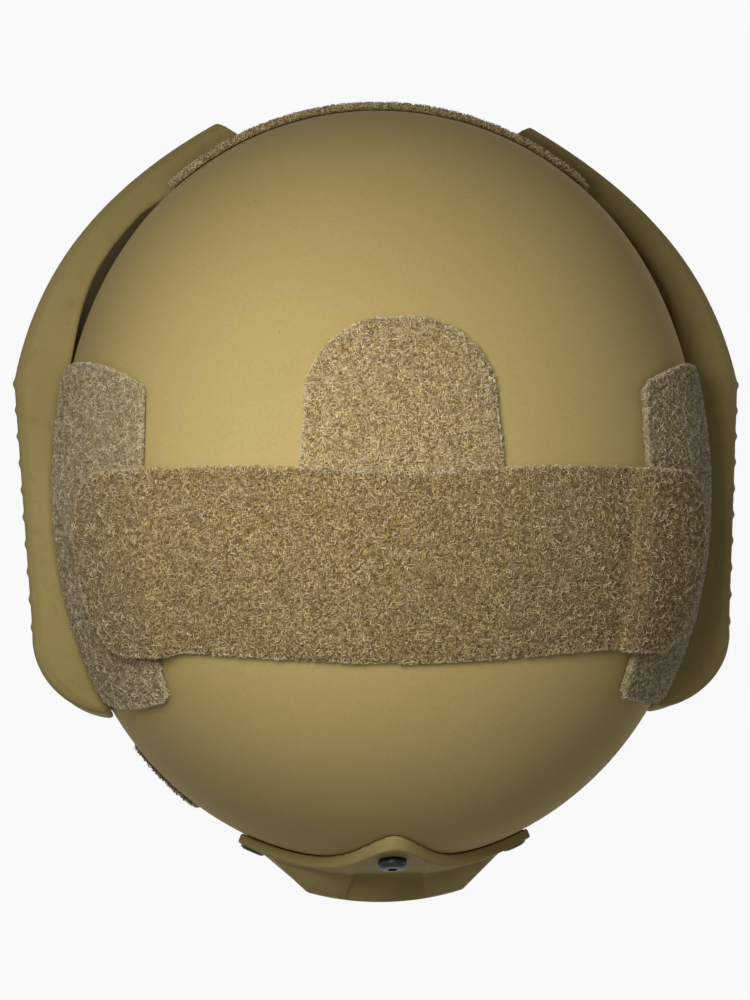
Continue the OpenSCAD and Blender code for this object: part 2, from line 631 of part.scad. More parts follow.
// A harness strap starts under its anchor tab.
function under_tab(b, drop) =
    let (top = at_height(b[0], b[1], -shell_wall - rim_gap - trim_wall - soft_gap - web_t / 2))
    [top[0], top[1], b[1] + tab_top - tab_l - web_w * drop - 2 * soft_gap];
module front_strap_left() {
    color(web_tan) strap(harness_route(under_tab(rail_bolts[0], 1.04),
        [strap_x + beside + 0.5, junction_y + 6, strap_z]));
}
module front_strap_right() mirror([1, 0, 0]) front_strap_left();
module rear_strap_left() {
    color(web_tan) strap(harness_route(under_tab(rail_bolts[1], 1.1),
        [strap_x - beside - 0.3, junction_y + 10, strap_z]));
}
module rear_strap_right() mirror([1, 0, 0]) rear_strap_left();

// slotted plate that joins the straps under the ear
module junction_left() {
    slot = [junction_t + 2, 2, web_w - 3];
    color(black) translate([strap_x - junction_t / 2, junction_y, strap_z - 1]) difference() {
        rotate([90, 0, 90]) linear_extrude(height = junction_t) union() {
            translate([2, 0]) square([junction_l - 4, web_w + 2]);
            translate([0, 2]) square([junction_l, web_w - 2]);
            for (y = [2, junction_l - 2]) for (z = [2, web_w]) translate([y, z]) circle(r = 2, $fn = 32);
        }
        for (y = [3, junction_l - 5]) translate([-1, y, 2.5]) cube(slot);
    }
}
module junction_right() mirror([1, 0, 0]) junction_left();

// side-release buckle: its halves meet at buckle_y and the prongs reach into the housing
buckle_y = -16;
buckle_l = 26;
buckle_w = web_w + 8;
buckle_t = 8.4;
prong_l = buckle_pull; // the prongs reach as deep as they pull out
male_l = 9;
mouth_w = web_w + 1.2;
mouth_t = 4.8;
window_t = 4.4; // openings in the housing's sides, where the prongs snap in
bar_slot = 1.8;
module rounded_bar(l, w, t, r) {
    rotate([90, 0, 90]) translate([0, 0, -t / 2]) linear_extrude(height = t) union() {
        translate([r, -w / 2]) square([l - 2 * r, w]);
        translate([0, r - w / 2]) square([l, w - 2 * r]);
        for (y = [r, l - r]) for (z = [r - w / 2, w / 2 - r]) translate([y, z]) circle(r = r, $fn = 32);
    }
}
module block(x, y, z) translate([x[0], y[0], z[0]]) cube([x[1] - x[0], y[1] - y[0], z[1] - z[0]]);
module buckle_female() {
    color(black) translate([strap_x, buckle_y, strap_mid]) difference() {
        rounded_bar(buckle_l, buckle_w, buckle_t, 3);
        block([-mouth_t / 2, mouth_t / 2], [-1, prong_l + 2.4], [-mouth_w / 2, mouth_w / 2]);
        for (s = [-1, 1])
            translate([0, 0, s * buckle_w / 2]) block([-window_t / 2, window_t / 2], [8, 18], [-5, 5]);
        block([-buckle_t, buckle_t], [buckle_l - 4, buckle_l - 4 + bar_slot], [0.3 - web_w / 2, web_w / 2]);
    }
}
module buckle_male() {
    prong_t = mouth_t - 2 * slide_gap;
    tip = mouth_w / 2 - slide_gap;
    color(black) translate([strap_x, buckle_y, strap_mid]) {
        difference() {
            translate([0, -male_l - slide_gap, 0]) rounded_bar(male_l, buckle_w - 1, buckle_t - 2, 2.5);
            block([-buckle_t, buckle_t], [-6.5, bar_slot - 6.5], [0.3 - web_w / 2, web_w / 2]);
        }
        rotate([90, 0, 90]) translate([0, 0, -prong_t / 2]) linear_extrude(height = prong_t) union() {
            for (s = [-1, 1]) polygon([[-1, s * 6.5], [-1, s * 9], [6, s * 9], [9, s * tip],
                [15, s * tip], [prong_l, s * (tip - 3)], [14, s * 7], [6, s * 6.5]]);
            translate([-1, -1.2]) square([9, 2.4]);
        }
    }
}

// chin straps: the buckle is on the left
function side_run(from, to) = [for (t = [0, 0.5, 1]) [strap_x, from + t * (to - from), strap_z]];
function cup_bend() = concat(
    [for (t = [0:15:90]) [strap_x - arc_r + arc_r * cos(t), arc_y - arc_r * sin(t), strap_z]],
    [[cup_w / 2 + soft_gap, cup_y, strap_z]]);
module chin_strap_left() {
    color(web_tan) strap(side_run(junction_y - soft_gap, buckle_y + buckle_l + soft_gap));
}
module buckle_strap() {
    color(web_tan) strap(concat(
        [[strap_x, buckle_y - male_l - slide_gap - soft_gap, strap_z]], cup_bend()));
}
module chin_strap_right() {
    color(web_tan) mirror([1, 0, 0]) strap(concat([[strap_x, junction_y - soft_gap, strap_z]], cup_bend()));
}
slider_l = 12;
slider_y = 30; // front edge of the slides that set the strap's length
module adjuster_left() {
    slot_t = web_t + 2 * slide_gap;
    color(black) translate([strap_x, slider_y, strap_mid]) difference() {
        rounded_bar(slider_l, web_w + 6, 4.6, 2);
        block([-slot_t / 2, slot_t / 2], [-1, slider_l + 1], [-web_w / 2 - slide_gap, web_w / 2 + slide_gap]);
        for (y = [2, 7]) block([0, 5], [y, y + 3], [2 - web_w / 2, web_w / 2 - 2]);
    }
}
module adjuster_right() mirror([1, 0, 0]) adjuster_left();

// chin cup with its pad
cup_wall = 2.5;
cup_steps = [-1, -0.9, -0.6, -0.3, 0, 0.3, 0.6, 0.9, 1];
function cup_point(u, v, off) =
    let (q = round_map(u, v, 0.3))
    [cup_w / 2 * q[0], cup_y - cup_wall / 2 - 5 * (1 - u * u) + 3 * v * v + off, strap_mid + 3 + 16 * q[1]];
module chin_cup() {
    color(web_tan) skin([for (v = cup_steps) [for (u = cup_steps) cup_point(u, -v, 0)]],
        [for (v = cup_steps) [for (u = cup_steps) cup_point(u, -v, cup_wall)]]);
}
module chin_cup_pad() {
    near = cup_wall + soft_gap;
    function plump(u, v) = near + 6 * (1 - 0.5 * pad_edge(u, v));
    color(pad_grey)
        skin([for (v = cup_steps) [for (u = cup_steps) cup_point(0.9 * u, -0.9 * v, near)]],
            [for (v = cup_steps) [for (u = cup_steps) cup_point(0.9 * u, -0.9 * v, plump(u, v))]]);
}

// fit adjuster: hangers on the shell carry the cradle, which slides forwards
adjuster_z = 30;
cradle_y = shell_front - cradle_in; // distance from the middle to the cradle
cradle_r = 85;
cradle_t = 2.5;
cradle_half = 52;
hanger_x = 28;
tongue_w = 10;
tongue_t = 2;
tongue_l = 22.6;
lug_l = 18;
lug_wall = 2.5;
tongue_end = cradle_y - 2.9;
lug_from = cradle_y - 2.2;
hanger_a = 167;
module nape_hangers() {
    columns = [-5, -2.5, 0, 2.5, 5];
    heights = [-11, -5, 0, 5, 11];
    foot_off = -shell_wall - 2 * soft_gap;
    color(black) for (s = [0, 1]) mirror([s, 0, 0]) union() {
        skin([for (z = heights) [for (a = columns) at_height(hanger_a + a, adjuster_z - z, foot_off)]],
            [for (z = heights) [for (a = columns) at_height(hanger_a + a, adjuster_z - z, foot_off - 2)]]);
        block([hanger_x - tongue_w / 2, hanger_x + tongue_w / 2], [tongue_end, tongue_end + tongue_l],
            [adjuster_z - tongue_t / 2, adjuster_z + tongue_t / 2]);
    }
}
module arc_band(r_in, r_out, half, from, to) {
    translate([0, cradle_y - cradle_r, from]) linear_extrude(height = to - from) intersection() {
        difference() {
            circle(r = r_out, $fn = 128);
            circle(r = r_in, $fn = 128);
        }
        translate([-half, 0]) square([2 * half, r_out + 1]);
    }
}
housing_r = 17;
housing_t = 7.5;
housing_y = cradle_y + cradle_t + 0.5;
spool_r = 8;
spindle_r = 2.5;
lace_gap = 0.4;
module nape_cradle() {
    slot_x = tongue_w / 2 + slide_gap;
    slot_z = tongue_t / 2 + slide_gap;
    color(black) difference() {
        union() {
            arc_band(cradle_r, cradle_r + cradle_t, cradle_half, adjuster_z - cradle_h / 2,
                adjuster_z + cradle_h / 2);
            translate([0, housing_y, adjuster_z]) rotate([90, 0, 0])
                cylinder(r = housing_r - 1, h = 2, $fn = 64);
            for (s = [-1, 1]) translate([s * hanger_x, 0, adjuster_z])
                block([-slot_x - lug_wall, slot_x + lug_wall], [lug_from, lug_from + lug_l],
                    [-slot_z - lug_wall, slot_z + lug_wall]);
        }
        for (s = [-1, 1]) translate([s * hanger_x, 0, adjuster_z])
            block([-slot_x, slot_x], [tongue_end - 8, lug_from + lug_l + 1], [-slot_z, slot_z]);
    }
}
module nape_pad() {
    function pad_point(u, v, off) =
        let (q = round_map(u, v, 0.1))
        let (a = 31 * q[0])
        [(cradle_r - off) * sin(a), cradle_y - cradle_r + (cradle_r - off) * cos(a),
         adjuster_z + (cradle_h / 2 - 1) * q[1]];
    color(pad_grey)
        skin([for (v = pad_steps) [for (u = pad_steps) pad_point(-u, -v, soft_gap)]],
            [for (v = pad_steps) [for (u = pad_steps)
                pad_point(-u, -v, soft_gap + 7 * (1 - 0.5 * pad_edge(u, v)))]]);
}
module along_y(y, z) translate([0, y, z]) rotate([-90, 0, 0]) children();
module dial_housing() {
    color(black) difference() {
        along_y(housing_y + 0.1, adjuster_z) cylinder(r = housing_r, h = housing_t, $fn = 64);
        along_y(housing_y, adjuster_z) cylinder(r = spool_r + 2.5, h = housing_t - 1.9, $fn = 48);
        along_y(housing_y, adjuster_z)
            cylinder(r = spindle_r + turn_gap, h = housing_t + 2, $fn = 32);
        for (s = [-1, 1]) translate([0, lace_y, adjuster_z + s * spool_r])
            rotate([0, s * 90, 0]) cylinder(r = lace_r + lace_gap, h = housing_r + 2, $fn = 24);
    }
}
lace_y = housing_y + 3;
module dial_spindle() {
    color(black) along_y(housing_y + 0.3, adjuster_z) {
        cylinder(r = spindle_r, h = housing_t + 4, $fn = 32);
        translate([0, 0, 0.2]) cylinder(r = spool_r - lace_r - 0.3, h = housing_t - 2.9, $fn = 48);
    }
}
knob_t = 8;
module dial_knob() {
    grips = 16;
    color(black) along_y(housing_y + housing_t + 0.4, adjuster_z) difference() {
        union() {
            linear_extrude(height = knob_t - 1) difference() {
                circle(r = knob_r, $fn = 96);
                for (k = [0:grips - 1]) rotate(k * 360 / grips) translate([knob_r + 0.9, 0])
                    circle(r = 1.8, $fn = 24);
            }
            cylinder(r = knob_r - 2, h = knob_t, $fn = 64);
        }
        translate([0, 0, -1]) cylinder(r = spindle_r + turn_gap, h = 5, $fn = 32);
    }
}
eyelet_a = 158;
eyelet_z = [adjuster_z + spool_r, adjuster_z - spool_r];
function eyelet_at(z) = at_height(eyelet_a, z, -shell_wall - soft_gap - 4);
module lace_eyelets() {
    color(black) for (s = [0, 1]) mirror([s, 0, 0]) difference() {
        on_shell(eyelet_a, eyelet_z[s], -shell_wall - soft_gap - 8)
            translate([-4, -3.5, 0]) cube([8, 7, 7.6]);
        translate([0, eyelet_at(eyelet_z[s])[1], eyelet_z[s]])
            rotate([0, 90, 0]) cylinder(r = lace_r + lace_gap, h = 90, $fn = 24);
    }
}
function lace_route(z) =
    let (end = eyelet_at(z))
    [for (t = [0:0.1:1]) [9 + (end[0] - 9) * t, lace_y + (end[1] - lace_y) * wave(0.3, 0.85, t), z]];
module lace(z) {
    route = lace_route(z);
    sides = 8;
    color(pad_grey) tube([for (q = route) [for (k = [0:sides - 1])
        q + lace_r * [0, sin(k * 360 / sides), cos(k * 360 / sides)]]], false);
}
module lace_left() lace(eyelet_z[0]);
module lace_right() mirror([1, 0, 0]) lace(eyelet_z[1]);

shell();
edge_trim();
shroud();
shroud_screws();
shroud_nuts();
rail_left();
rail_right();
rail_screws();
rail_nuts();
patch_top_strip();
patch_crown();
patch_side_left();
patch_side_right();
patch_rear();
patch_front_left();
patch_front_right();
loop_discs();
pad_crown();
pad_front();
pad_rear();
pad_side_front_left();
pad_side_front_right();
pad_side_rear_left();
pad_side_rear_right();
anchor_tabs();
front_strap_left();
front_strap_right();
rear_strap_left();
rear_strap_right();
junction_left();
junction_right();
chin_strap_left();
chin_strap_right();
buckle_strap();
buckle_female();
buckle_male();
adjuster_left();
adjuster_right();
chin_cup();
chin_cup_pad();
nape_hangers();
nape_cradle();
nape_pad();
dial_housing();
dial_knob();
dial_spindle();
lace_left();
lace_right();
lace_eyelets();
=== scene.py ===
import math
import bmesh
import bpy
import numpy as np
from mathutils import Matrix, Vector
from mathutils.bvhtree import BVHTree


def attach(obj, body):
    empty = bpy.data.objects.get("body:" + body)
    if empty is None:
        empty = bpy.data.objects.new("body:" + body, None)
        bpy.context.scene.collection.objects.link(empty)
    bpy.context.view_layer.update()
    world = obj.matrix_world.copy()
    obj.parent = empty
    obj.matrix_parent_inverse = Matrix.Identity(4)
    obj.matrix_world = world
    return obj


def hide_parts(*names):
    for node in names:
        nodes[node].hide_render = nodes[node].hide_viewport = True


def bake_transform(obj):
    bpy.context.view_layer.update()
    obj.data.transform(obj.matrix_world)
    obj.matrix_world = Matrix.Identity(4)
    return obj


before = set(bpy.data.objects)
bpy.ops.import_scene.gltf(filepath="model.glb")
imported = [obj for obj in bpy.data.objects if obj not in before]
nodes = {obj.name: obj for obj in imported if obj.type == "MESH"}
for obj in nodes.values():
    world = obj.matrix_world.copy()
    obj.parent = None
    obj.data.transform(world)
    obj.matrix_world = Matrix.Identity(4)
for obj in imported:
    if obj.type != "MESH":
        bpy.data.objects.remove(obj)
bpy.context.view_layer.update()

scene = bpy.context.scene
scene.view_settings.view_transform = "Standard"


# Camera of the photograph: almost straight above, a little to the front and the right side.
photoView = dict(target=(-0.00335, -0.0117, 0.09), distance=0.52, sideways=-3.84, tilt=-12.66,
                 roll=0.99, pixels=1521.6, frameHeight=1000, sensor=36, nearest=0.01)


def addCamera():
    v = photoView
    back = Vector((math.tan(math.radians(v["sideways"])), math.tan(math.radians(v["tilt"])), 1))
    back.normalize()
    roll = math.radians(v["roll"])
    right = Vector((math.sin(roll), math.cos(roll), 0)).cross(back).normalized()
    up = back.cross(right)
    camera = bpy.data.objects.new("photoCamera", bpy.data.cameras.new("photoCamera"))
    scene.collection.objects.link(camera)
    turn = Matrix((right, up, back)).transposed().to_4x4()
    camera.matrix_world = Matrix.Translation(Vector(v["target"]) + back * v["distance"]) @ turn
    camera.data.sensor_fit = "VERTICAL"
    camera.data.sensor_height = v["sensor"]
    camera.data.lens = v["pixels"] * v["sensor"] / v["frameHeight"]
    camera.data.clip_start = v["nearest"]
    scene.camera = camera


addCamera()
print("camera placed")


# Shape of the shell, in millimetres and degrees: the same surface as the solids use.
shellShape = dict(width=228, length=267, height=165, widest=55, wall=8, crownShift=3.6,
                  fullness=0.03, skirt=150, square=0.6, earCut=57, earFront=(52, 80),
                  earRear=(112, 152), browArch=5, browEnd=34, columns=240, rings=64)
meanRadius = (shellShape["width"] + shellShape["length"]) / 4 + shellShape["square"]


def sinD(a):
    return np.sin(np.radians(a))


def cosD(a):
    return np.cos(np.radians(a))


def planRadius(a):
    s = shellShape
    return meanRadius + (s["length"] - s["width"]) / 4 * cosD(2 * a) - s["square"] * cosD(4 * a)


def bulge(p):
    f = shellShape["fullness"]
    return (sinD(p) + f * sinD(3 * p)) / (1 - f)


def rise(p):
    f = shellShape["fullness"]
    return (cosD(p) - f * cosD(3 * p)) / (1 - f)


def floats(*values):
    return np.broadcast_arrays(*[np.asarray(v, float) for v in values])


def shellPoint(a, p, off):
    # azimuth from the front, angle from the crown, distance outwards
    s = shellShape
    a, p, off = floats(a, p, off)
    r = (planRadius(a) + off) * bulge(p)
    h = rise(p)
    z = s["widest"] + (np.where(h > 0, s["height"] - s["widest"], s["skirt"]) + off) * h
    return np.stack([r * sinD(a), s["crownShift"] * np.maximum(h, 0) ** 2 - r * cosD(a), z], -1)


def polarAt(z, off=0.0):
    # angle from the crown at a height, by Newton steps
    s, f = shellShape, shellShape["fullness"]
    z, off = floats(z, off)
    tall = np.where(z > s["widest"], s["height"] - s["widest"], s["skirt"])
    h = (z - s["widest"]) / (tall + off)
    c = 0.92 * h
    for step in range(5):
        c = c - ((1 + 3 * f) * c - 4 * f * c ** 3 - (1 - f) * h) / (1 + 3 * f - 12 * f * c * c)
    return np.degrees(np.arccos(np.clip(c, -1, 1)))


def atHeight(a, z, off=0.0):
    return shellPoint(a, polarAt(z, off), off)


def byDirection(side, forward, off):
    # degrees to the side and degrees forwards, both from the crown
    x, y, z = floats(sinD(side) * cosD(forward), sinD(forward), cosD(side) * cosD(forward))
    return shellPoint(np.degrees(np.arctan2(x, y)), np.degrees(np.arccos(np.clip(z, -1, 1))), off)


def wave(start, end, x):
    share = (np.asarray(x, float) - start) / (end - start)
    return (1 - np.cos(np.pi * np.clip(share, 0, 1))) / 2


def between(first, last, x):
    # rises over the first stretch and falls over the last
    return wave(*first, x) - wave(*last, x)


def rimZ(a):
    s = shellShape
    m = np.abs(np.where(np.asarray(a) > 180, np.asarray(a) - 360, a))
    brow = s["browArch"] * (1 - wave(0, s["browEnd"], m))
    return np.where(m < s["earFront"][0], brow,
                    s["earCut"] * between(s["earFront"], s["earRear"], m))


def steepness(a):
    a = np.asarray(a)
    slope = (rimZ(a + 1) - rimZ(a - 1)) / (2 * meanRadius * math.pi / 180)
    return np.sqrt(1 + slope ** 2)


def unit(v):
    return v / np.maximum(np.linalg.norm(v, axis=-1, keepdims=True), 1e-12)


def onShell(a, z):
    # point and outward normal, as the bolts stand
    a = np.asarray(a, float)
    radius = lambda h: planRadius(a) * bulge(polarAt(h))
    tilt = np.degrees(np.arctan((radius(z - 1) - radius(z + 1)) / 2))
    step = 2 * planRadius(a) * math.pi / 180
    turn = a + np.degrees(np.arctan((planRadius(a - 1) - planRadius(a + 1)) / step))
    normal = np.array([sinD(turn) * cosD(tilt), -cosD(turn) * cosD(tilt), sinD(tilt)])
    return atHeight(a, z), normal


# Meshes from arrays of points in millimetres.
def meshFrom(name, points, faceGroups, attributes=None):
    mesh = bpy.data.meshes.new(name)
    points = np.asarray(points, float).reshape(-1, 3) / 1000
    groups = [np.asarray(g, np.int32) for g in faceGroups]
    counts = np.concatenate([np.full(len(g), g.shape[1], np.int32) for g in groups])
    starts = np.concatenate([[0], np.cumsum(counts)[:-1]]).astype(np.int32)
    mesh.vertices.add(len(points))
    mesh.vertices.foreach_set("co", points.astype(np.float32).ravel())
    mesh.loops.add(int(counts.sum()))
    mesh.loops.foreach_set("vertex_index", np.concatenate([g.ravel() for g in groups]))
    mesh.polygons.add(len(counts))
    mesh.polygons.foreach_set("loop_start", starts)
    mesh.update(calc_edges=True)
    mesh.validate()
    mesh.polygons.foreach_set("use_smooth", np.ones(len(mesh.polygons), bool))
    for key, values in (attributes or {}).items():
        values = np.asarray(values, np.float32)
        kind, field = ("FLOAT_VECTOR", "vector") if values.ndim == 2 else ("FLOAT", "value")
        mesh.attributes.new(key, kind, "POINT").data.foreach_set(field, values.ravel())
    made = bpy.data.objects.new(name, mesh)
    scene.collection.objects.link(made)
    return made


def faceOutwards(piece):
    work = bmesh.new()
    work.from_mesh(piece.data)
    bmesh.ops.recalc_face_normals(work, faces=work.faces)
    work.to_mesh(piece.data)
    work.free()
    return piece


def gridQuads(rows, columns, closedRows=False, closedColumns=False):
    i = np.arange(rows if closedRows else rows - 1)
    j = np.arange(columns if closedColumns else columns - 1)
    i, j = np.meshgrid(i, j, indexing="ij")
    k, l = (i + 1) % rows, (j + 1) % columns
    corners = [i * columns + j, i * columns + l, k * columns + l, k * columns + j]
    return np.stack(corners, -1).reshape(-1, 4)


def capFans(rows, columns):
    # fans to the two points that follow a grid: from its first row and from its last
    j = np.arange(columns)
    k = (j + 1) % columns
    count, last = rows * columns, (rows - 1) * columns
    return [np.stack([np.full(columns, count), k, j], -1),
            np.stack([np.full(columns, count + 1), last + j, last + k], -1)]


def skin(name, outer, inner, attributes=None):
    # outer grid first, inner grid after it, and a wall round the edge between them
    rows, columns = outer.shape[:2]
    count = rows * columns
    quads = gridQuads(rows, columns)
    at = np.arange(count).reshape(rows, columns)
    edge = np.concatenate([at[0], at[1:, -1], at[-1, -2::-1], at[-2:0:-1, 0]])
    after = np.roll(edge, -1)
    wall = np.stack([edge, edge + count, after + count, after], -1)
    points = np.concatenate([outer.reshape(-1, 3), inner.reshape(-1, 3)])
    faces = np.concatenate([quads, quads[:, ::-1] + count, wall])
    return faceOutwards(meshFrom(name, points, [faces], attributes))


def sweep(name, rings, closed=False, attributes=None):
    # rings: stations x section points x 3
    n, m = rings.shape[:2]
    points = rings.reshape(-1, 3)
    groups = [gridQuads(n, m, closedRows=closed, closedColumns=True)]
    if not closed:
        points = np.concatenate([points, rings[:1].mean(1), rings[-1:].mean(1)])
        groups += capFans(n, m)
        if attributes:
            attributes = {key: np.concatenate([v, v[:1], v[-1:]]) for key, v in attributes.items()}
    return faceOutwards(meshFrom(name, points, groups, attributes))


def tube(path, side, up, radius, sides, start=0.0):
    # a ring of points round each point of a path
    turn = (start + np.arange(sides) * 2 * np.pi / sides)[:, None]
    ring = np.cos(turn) * side[..., None, :] + np.sin(turn) * up[..., None, :]
    return path[..., None, :] + radius * ring


def tubeBundle(name, rings, attributes=None):
    # rings: tubes x stations x section points x 3, open at both ends
    count, stations, sides = rings.shape[:3]
    one = gridQuads(stations, sides, closedColumns=True)
    quads = (one[None] + (np.arange(count) * stations * sides)[:, None, None]).reshape(-1, 4)
    return meshFrom(name, rings.reshape(-1, 3), [quads], attributes)


def spread(columns, rows):
    return np.linspace(-1, 1, columns)[None, :], np.linspace(-1, 1, rows)[:, None]


def rounded(section, radius, steps=4):
    # fillets every corner of a closed section of 2-D points; radius is one number or one a corner
    section = np.asarray(section, float)
    count = len(section)
    radii = np.broadcast_to(np.asarray(radius, float), (count,))
    out = []
    for k in range(count):
        a, b, c = section[k - 1], section[k], section[(k + 1) % count]
        toA, toC = unit(a - b), unit(c - b)
        reach = min(radii[k], np.linalg.norm(a - b) * 0.45, np.linalg.norm(c - b) * 0.45)
        start, end = b + toA * reach, b + toC * reach
        for t in np.linspace(0, 1, steps):
            out.append((1 - t) ** 2 * start + 2 * t * (1 - t) * b + t * t * end)
    return np.array(out)


def applyModifiers(piece):
    graph = bpy.context.evaluated_depsgraph_get()
    baked = bpy.data.meshes.new_from_object(piece.evaluated_get(graph), depsgraph=graph,
                                            preserve_all_data_layers=True)
    old = piece.data
    piece.modifiers.clear()
    piece.data = baked
    bpy.data.meshes.remove(old)


def cylinderPiece(centre, normal, radius, low, high):
    side = unit(np.cross(normal, [0, 0, 1] if abs(normal[2]) < 0.9 else [1, 0, 0]))
    path = centre + normal * np.array([[low], [high]])
    return sweep("cutter", tube(path, side, np.cross(normal, side), radius, 48))


def prismPiece(polygon, low, high, frameOf):
    # polygon in 2-D, pushed from low to high; frameOf turns (u, v, w) into a point
    rings = [[frameOf(u, v, w) for u, v in polygon] for w in (low, high)]
    return sweep("cutter", np.array(rings, float))


def combine(piece, others, operation="DIFFERENCE"):
    for other in others:
        cut = piece.modifiers.new("cut", "BOOLEAN")
        cut.operation = operation
        cut.solver = "EXACT"
        cut.object = other
    applyModifiers(piece)
    for other in others:
        bpy.data.objects.remove(other)


def moulded(piece, voxel, smoothing=0):
    # even skin, with softly rounded edges where it is smoothed, as a mould leaves it
    remesh = piece.modifiers.new("even", "REMESH")
    remesh.mode = "VOXEL"
    remesh.voxel_size = voxel / 1000
    remesh.use_smooth_shade = True
    if smoothing:
        soften = piece.modifiers.new("soften", "SMOOTH")
        soften.factor = 0.5
        soften.iterations = smoothing
    applyModifiers(piece)


# Materials: sockets wrapped so that their maths reads as plain expressions.
def srgb(r, g, b):
    return tuple((c / 255 / 12.92) if c / 255 <= 0.04045 else ((c / 255 + 0.055) / 1.055) ** 2.4
                 for c in (r, g, b)) + (1.0,)


class Wire:
    def __init__(self, owner, socket):
        self.owner, self.socket = owner, socket

    def maths(self, operation, first, second=0.0):
        return self.owner.node("ShaderNodeMath", dict(operation=operation), {0: first, 1: second})

    def __add__(self, other): return self.maths("ADD", self, other)
    def __radd__(self, other): return self.maths("ADD", other, self)
    def __sub__(self, other): return self.maths("SUBTRACT", self, other)
    def __rsub__(self, other): return self.maths("SUBTRACT", other, self)
    def __mul__(self, other): return self.maths("MULTIPLY", self, other)
    def __rmul__(self, other): return self.maths("MULTIPLY", other, self)
    def __pow__(self, other): return self.maths("POWER", self, other)
    def smaller(self, other): return self.maths("MINIMUM", self, other)
    def larger(self, other): return self.maths("MAXIMUM", self, other)
    def above(self, other): return self.maths("GREATER_THAN", self, other)
    def sine(self): return self.maths("SINE", self)
    def sign(self): return self.maths("SIGN", self)


class Tree:
    def __init__(self, tree):
        self.tree = tree

    def node(self, kind, settings=None, inputs=None, out=0):
        made = self.tree.nodes.new(kind)
        for key, value in (settings or {}).items():
            if key == "stops":
                while len(made.color_ramp.elements) < len(value):
                    made.color_ramp.elements.new(0.5)
                for stop, (place, colour) in zip(made.color_ramp.elements, value):
                    stop.position = place
                    stop.color = colour
            else:
                setattr(made, key, value)
        for key, value in (inputs or {}).items():
            if isinstance(value, Wire):
                self.tree.links.new(value.socket, made.inputs[key])
            else:
                made.inputs[key].default_value = value
        return Wire(self, made.outputs[out])

    def seen(self):
        # 1 for rays from the camera, out of a gloss or through glass
        path = self.node("ShaderNodeLightPath", out="Is Camera Ray")
        glossy, through = [Wire(self, path.socket.node.outputs[key])
                           for key in ("Is Glossy Ray", "Is Transmission Ray")]
        return (glossy + path + through).smaller(1.0)


class Paint(Tree):
    def __init__(self, name, **constants):
        self.material = bpy.data.materials.new(name)
        self.material.use_nodes = True
        super().__init__(self.material.node_tree)
        self.shader = self.tree.nodes["Principled BSDF"]
        for key, value in constants.items():
            self.shader.inputs[key.replace("_", " ")].default_value = value

    def to(self, **wires):
        for key, wire in wires.items():
            self.tree.links.new(wire.socket, self.shader.inputs[key.replace("_", " ")])
        return self

    def place(self):
        return self.node("ShaderNodeTexCoord", out="Object")

    def attribute(self, name, out="Fac"):
        return self.node("ShaderNodeAttribute", dict(attribute_name=name), out=out)

    def woven(self):
        # millimetres along and across a strap or a lace
        parts = self.node("ShaderNodeSeparateXYZ", None, {0: self.attribute("weave", "Vector")})
        return [Wire(self, parts.socket.node.outputs[k]) for k in (0, 1)]

    def noise(self, scale, detail, rough=0.5, vector=None):
        return self.node("ShaderNodeTexNoise", None, {"Vector": vector or self.place(),
                         "Scale": scale, "Detail": detail, "Roughness": rough})

    def streaks(self, scales, turn):
        place = self.node("ShaderNodeMapping", None,
                          {"Vector": self.place(), "Scale": scales, "Rotation": turn})
        return self.noise(1, 2, 0.6, place)

    def cells(self, scale):
        return self.node("ShaderNodeTexVoronoi", None, {"Vector": self.place(), "Scale": scale})

    def ramp(self, wire, *stops):
        grey = lambda c: c if hasattr(c, "__len__") else (c, c, c, 1)
        stops = [(p, grey(c)) for p, c in stops]
        return self.node("ShaderNodeValToRGB", dict(stops=stops), {0: wire})

    def mix(self, factor, a, b):
        a, b = [c if isinstance(c, Wire) else srgb(*c) for c in (a, b)]
        return self.node("ShaderNodeMix", dict(data_type="RGBA"), {0: factor, 6: a, 7: b}, out=2)

    def tone(self, wire, low, high, under, over, most=1.0):
        # the colour under shows up to low; over lies on it with its greatest share from high on
        return self.mix(self.ramp(wire, (low, 0.0), (high, most)), under, over)

    def bump(self, height, strength, distance):
        return self.node("ShaderNodeBump", None,
                         {"Height": height, "Strength": strength, "Distance": distance})


def shellPaint(name, share=1.0):
    p = Paint(name, Roughness=0.72, Specular_IOR_Level=0.15)
    tints = ((182, 161, 102), (188, 167, 108), (128, 112, 70))
    dark, light, rubbed = [[c * share for c in tint] for tint in tints]
    fine = p.noise(900, 2, 0.6)
    colour = p.tone(p.noise(9, 4, 0.55), 0.35, 0.65, dark, light)
    colour = p.tone(fine, 0.3, 0.7, colour, rubbed, 0.12)
    specks = p.ramp(p.cells(95), (0.0, 1.0), (0.035, 0.0)) * p.noise(40, 0).above(0.6)
    colour = p.mix(specks * 0.7, colour, (92, 76, 46))
    grain = p.bump(fine + p.cells(700) * 0.5, 0.2, 0.0001)
    return p.to(Base_Color=colour, Roughness=0.62 + 0.16 * fine, Normal=grain)


def mouldedTan(name, light, dark):
    p = Paint(name, Roughness=0.55, Specular_IOR_Level=0.06)
    fine = p.noise(1600, 2, 0.6)
    colour = p.tone(p.noise(14, 3, 0.5), 0.35, 0.7, dark, light)
    colour = p.tone(p.noise(160, 4, 0.7), 0.55, 0.8, colour, (118, 104, 66), 0.35)
    return p.to(Base_Color=colour, Roughness=0.48 + 0.16 * fine,
                Normal=p.bump(fine, 0.25, 0.00008))


def loopGround(name, tints):
    p = Paint(name, Roughness=0.95, Sheen_Weight=0.12, Specular_IOR_Level=0.15)
    flecks = p.streaks((2900, 850, 1700), (0.3, 0.5, 0.9)).larger(
        p.streaks((850, 2900, 1700), (0.9, 0.2, 0.4)))
    colour = p.ramp(flecks, *zip((0.44, 0.57, 0.72), [srgb(*c) for c in tints]))
    return p.to(Base_Color=colour, Normal=p.bump(flecks, 0.8, 0.0004))


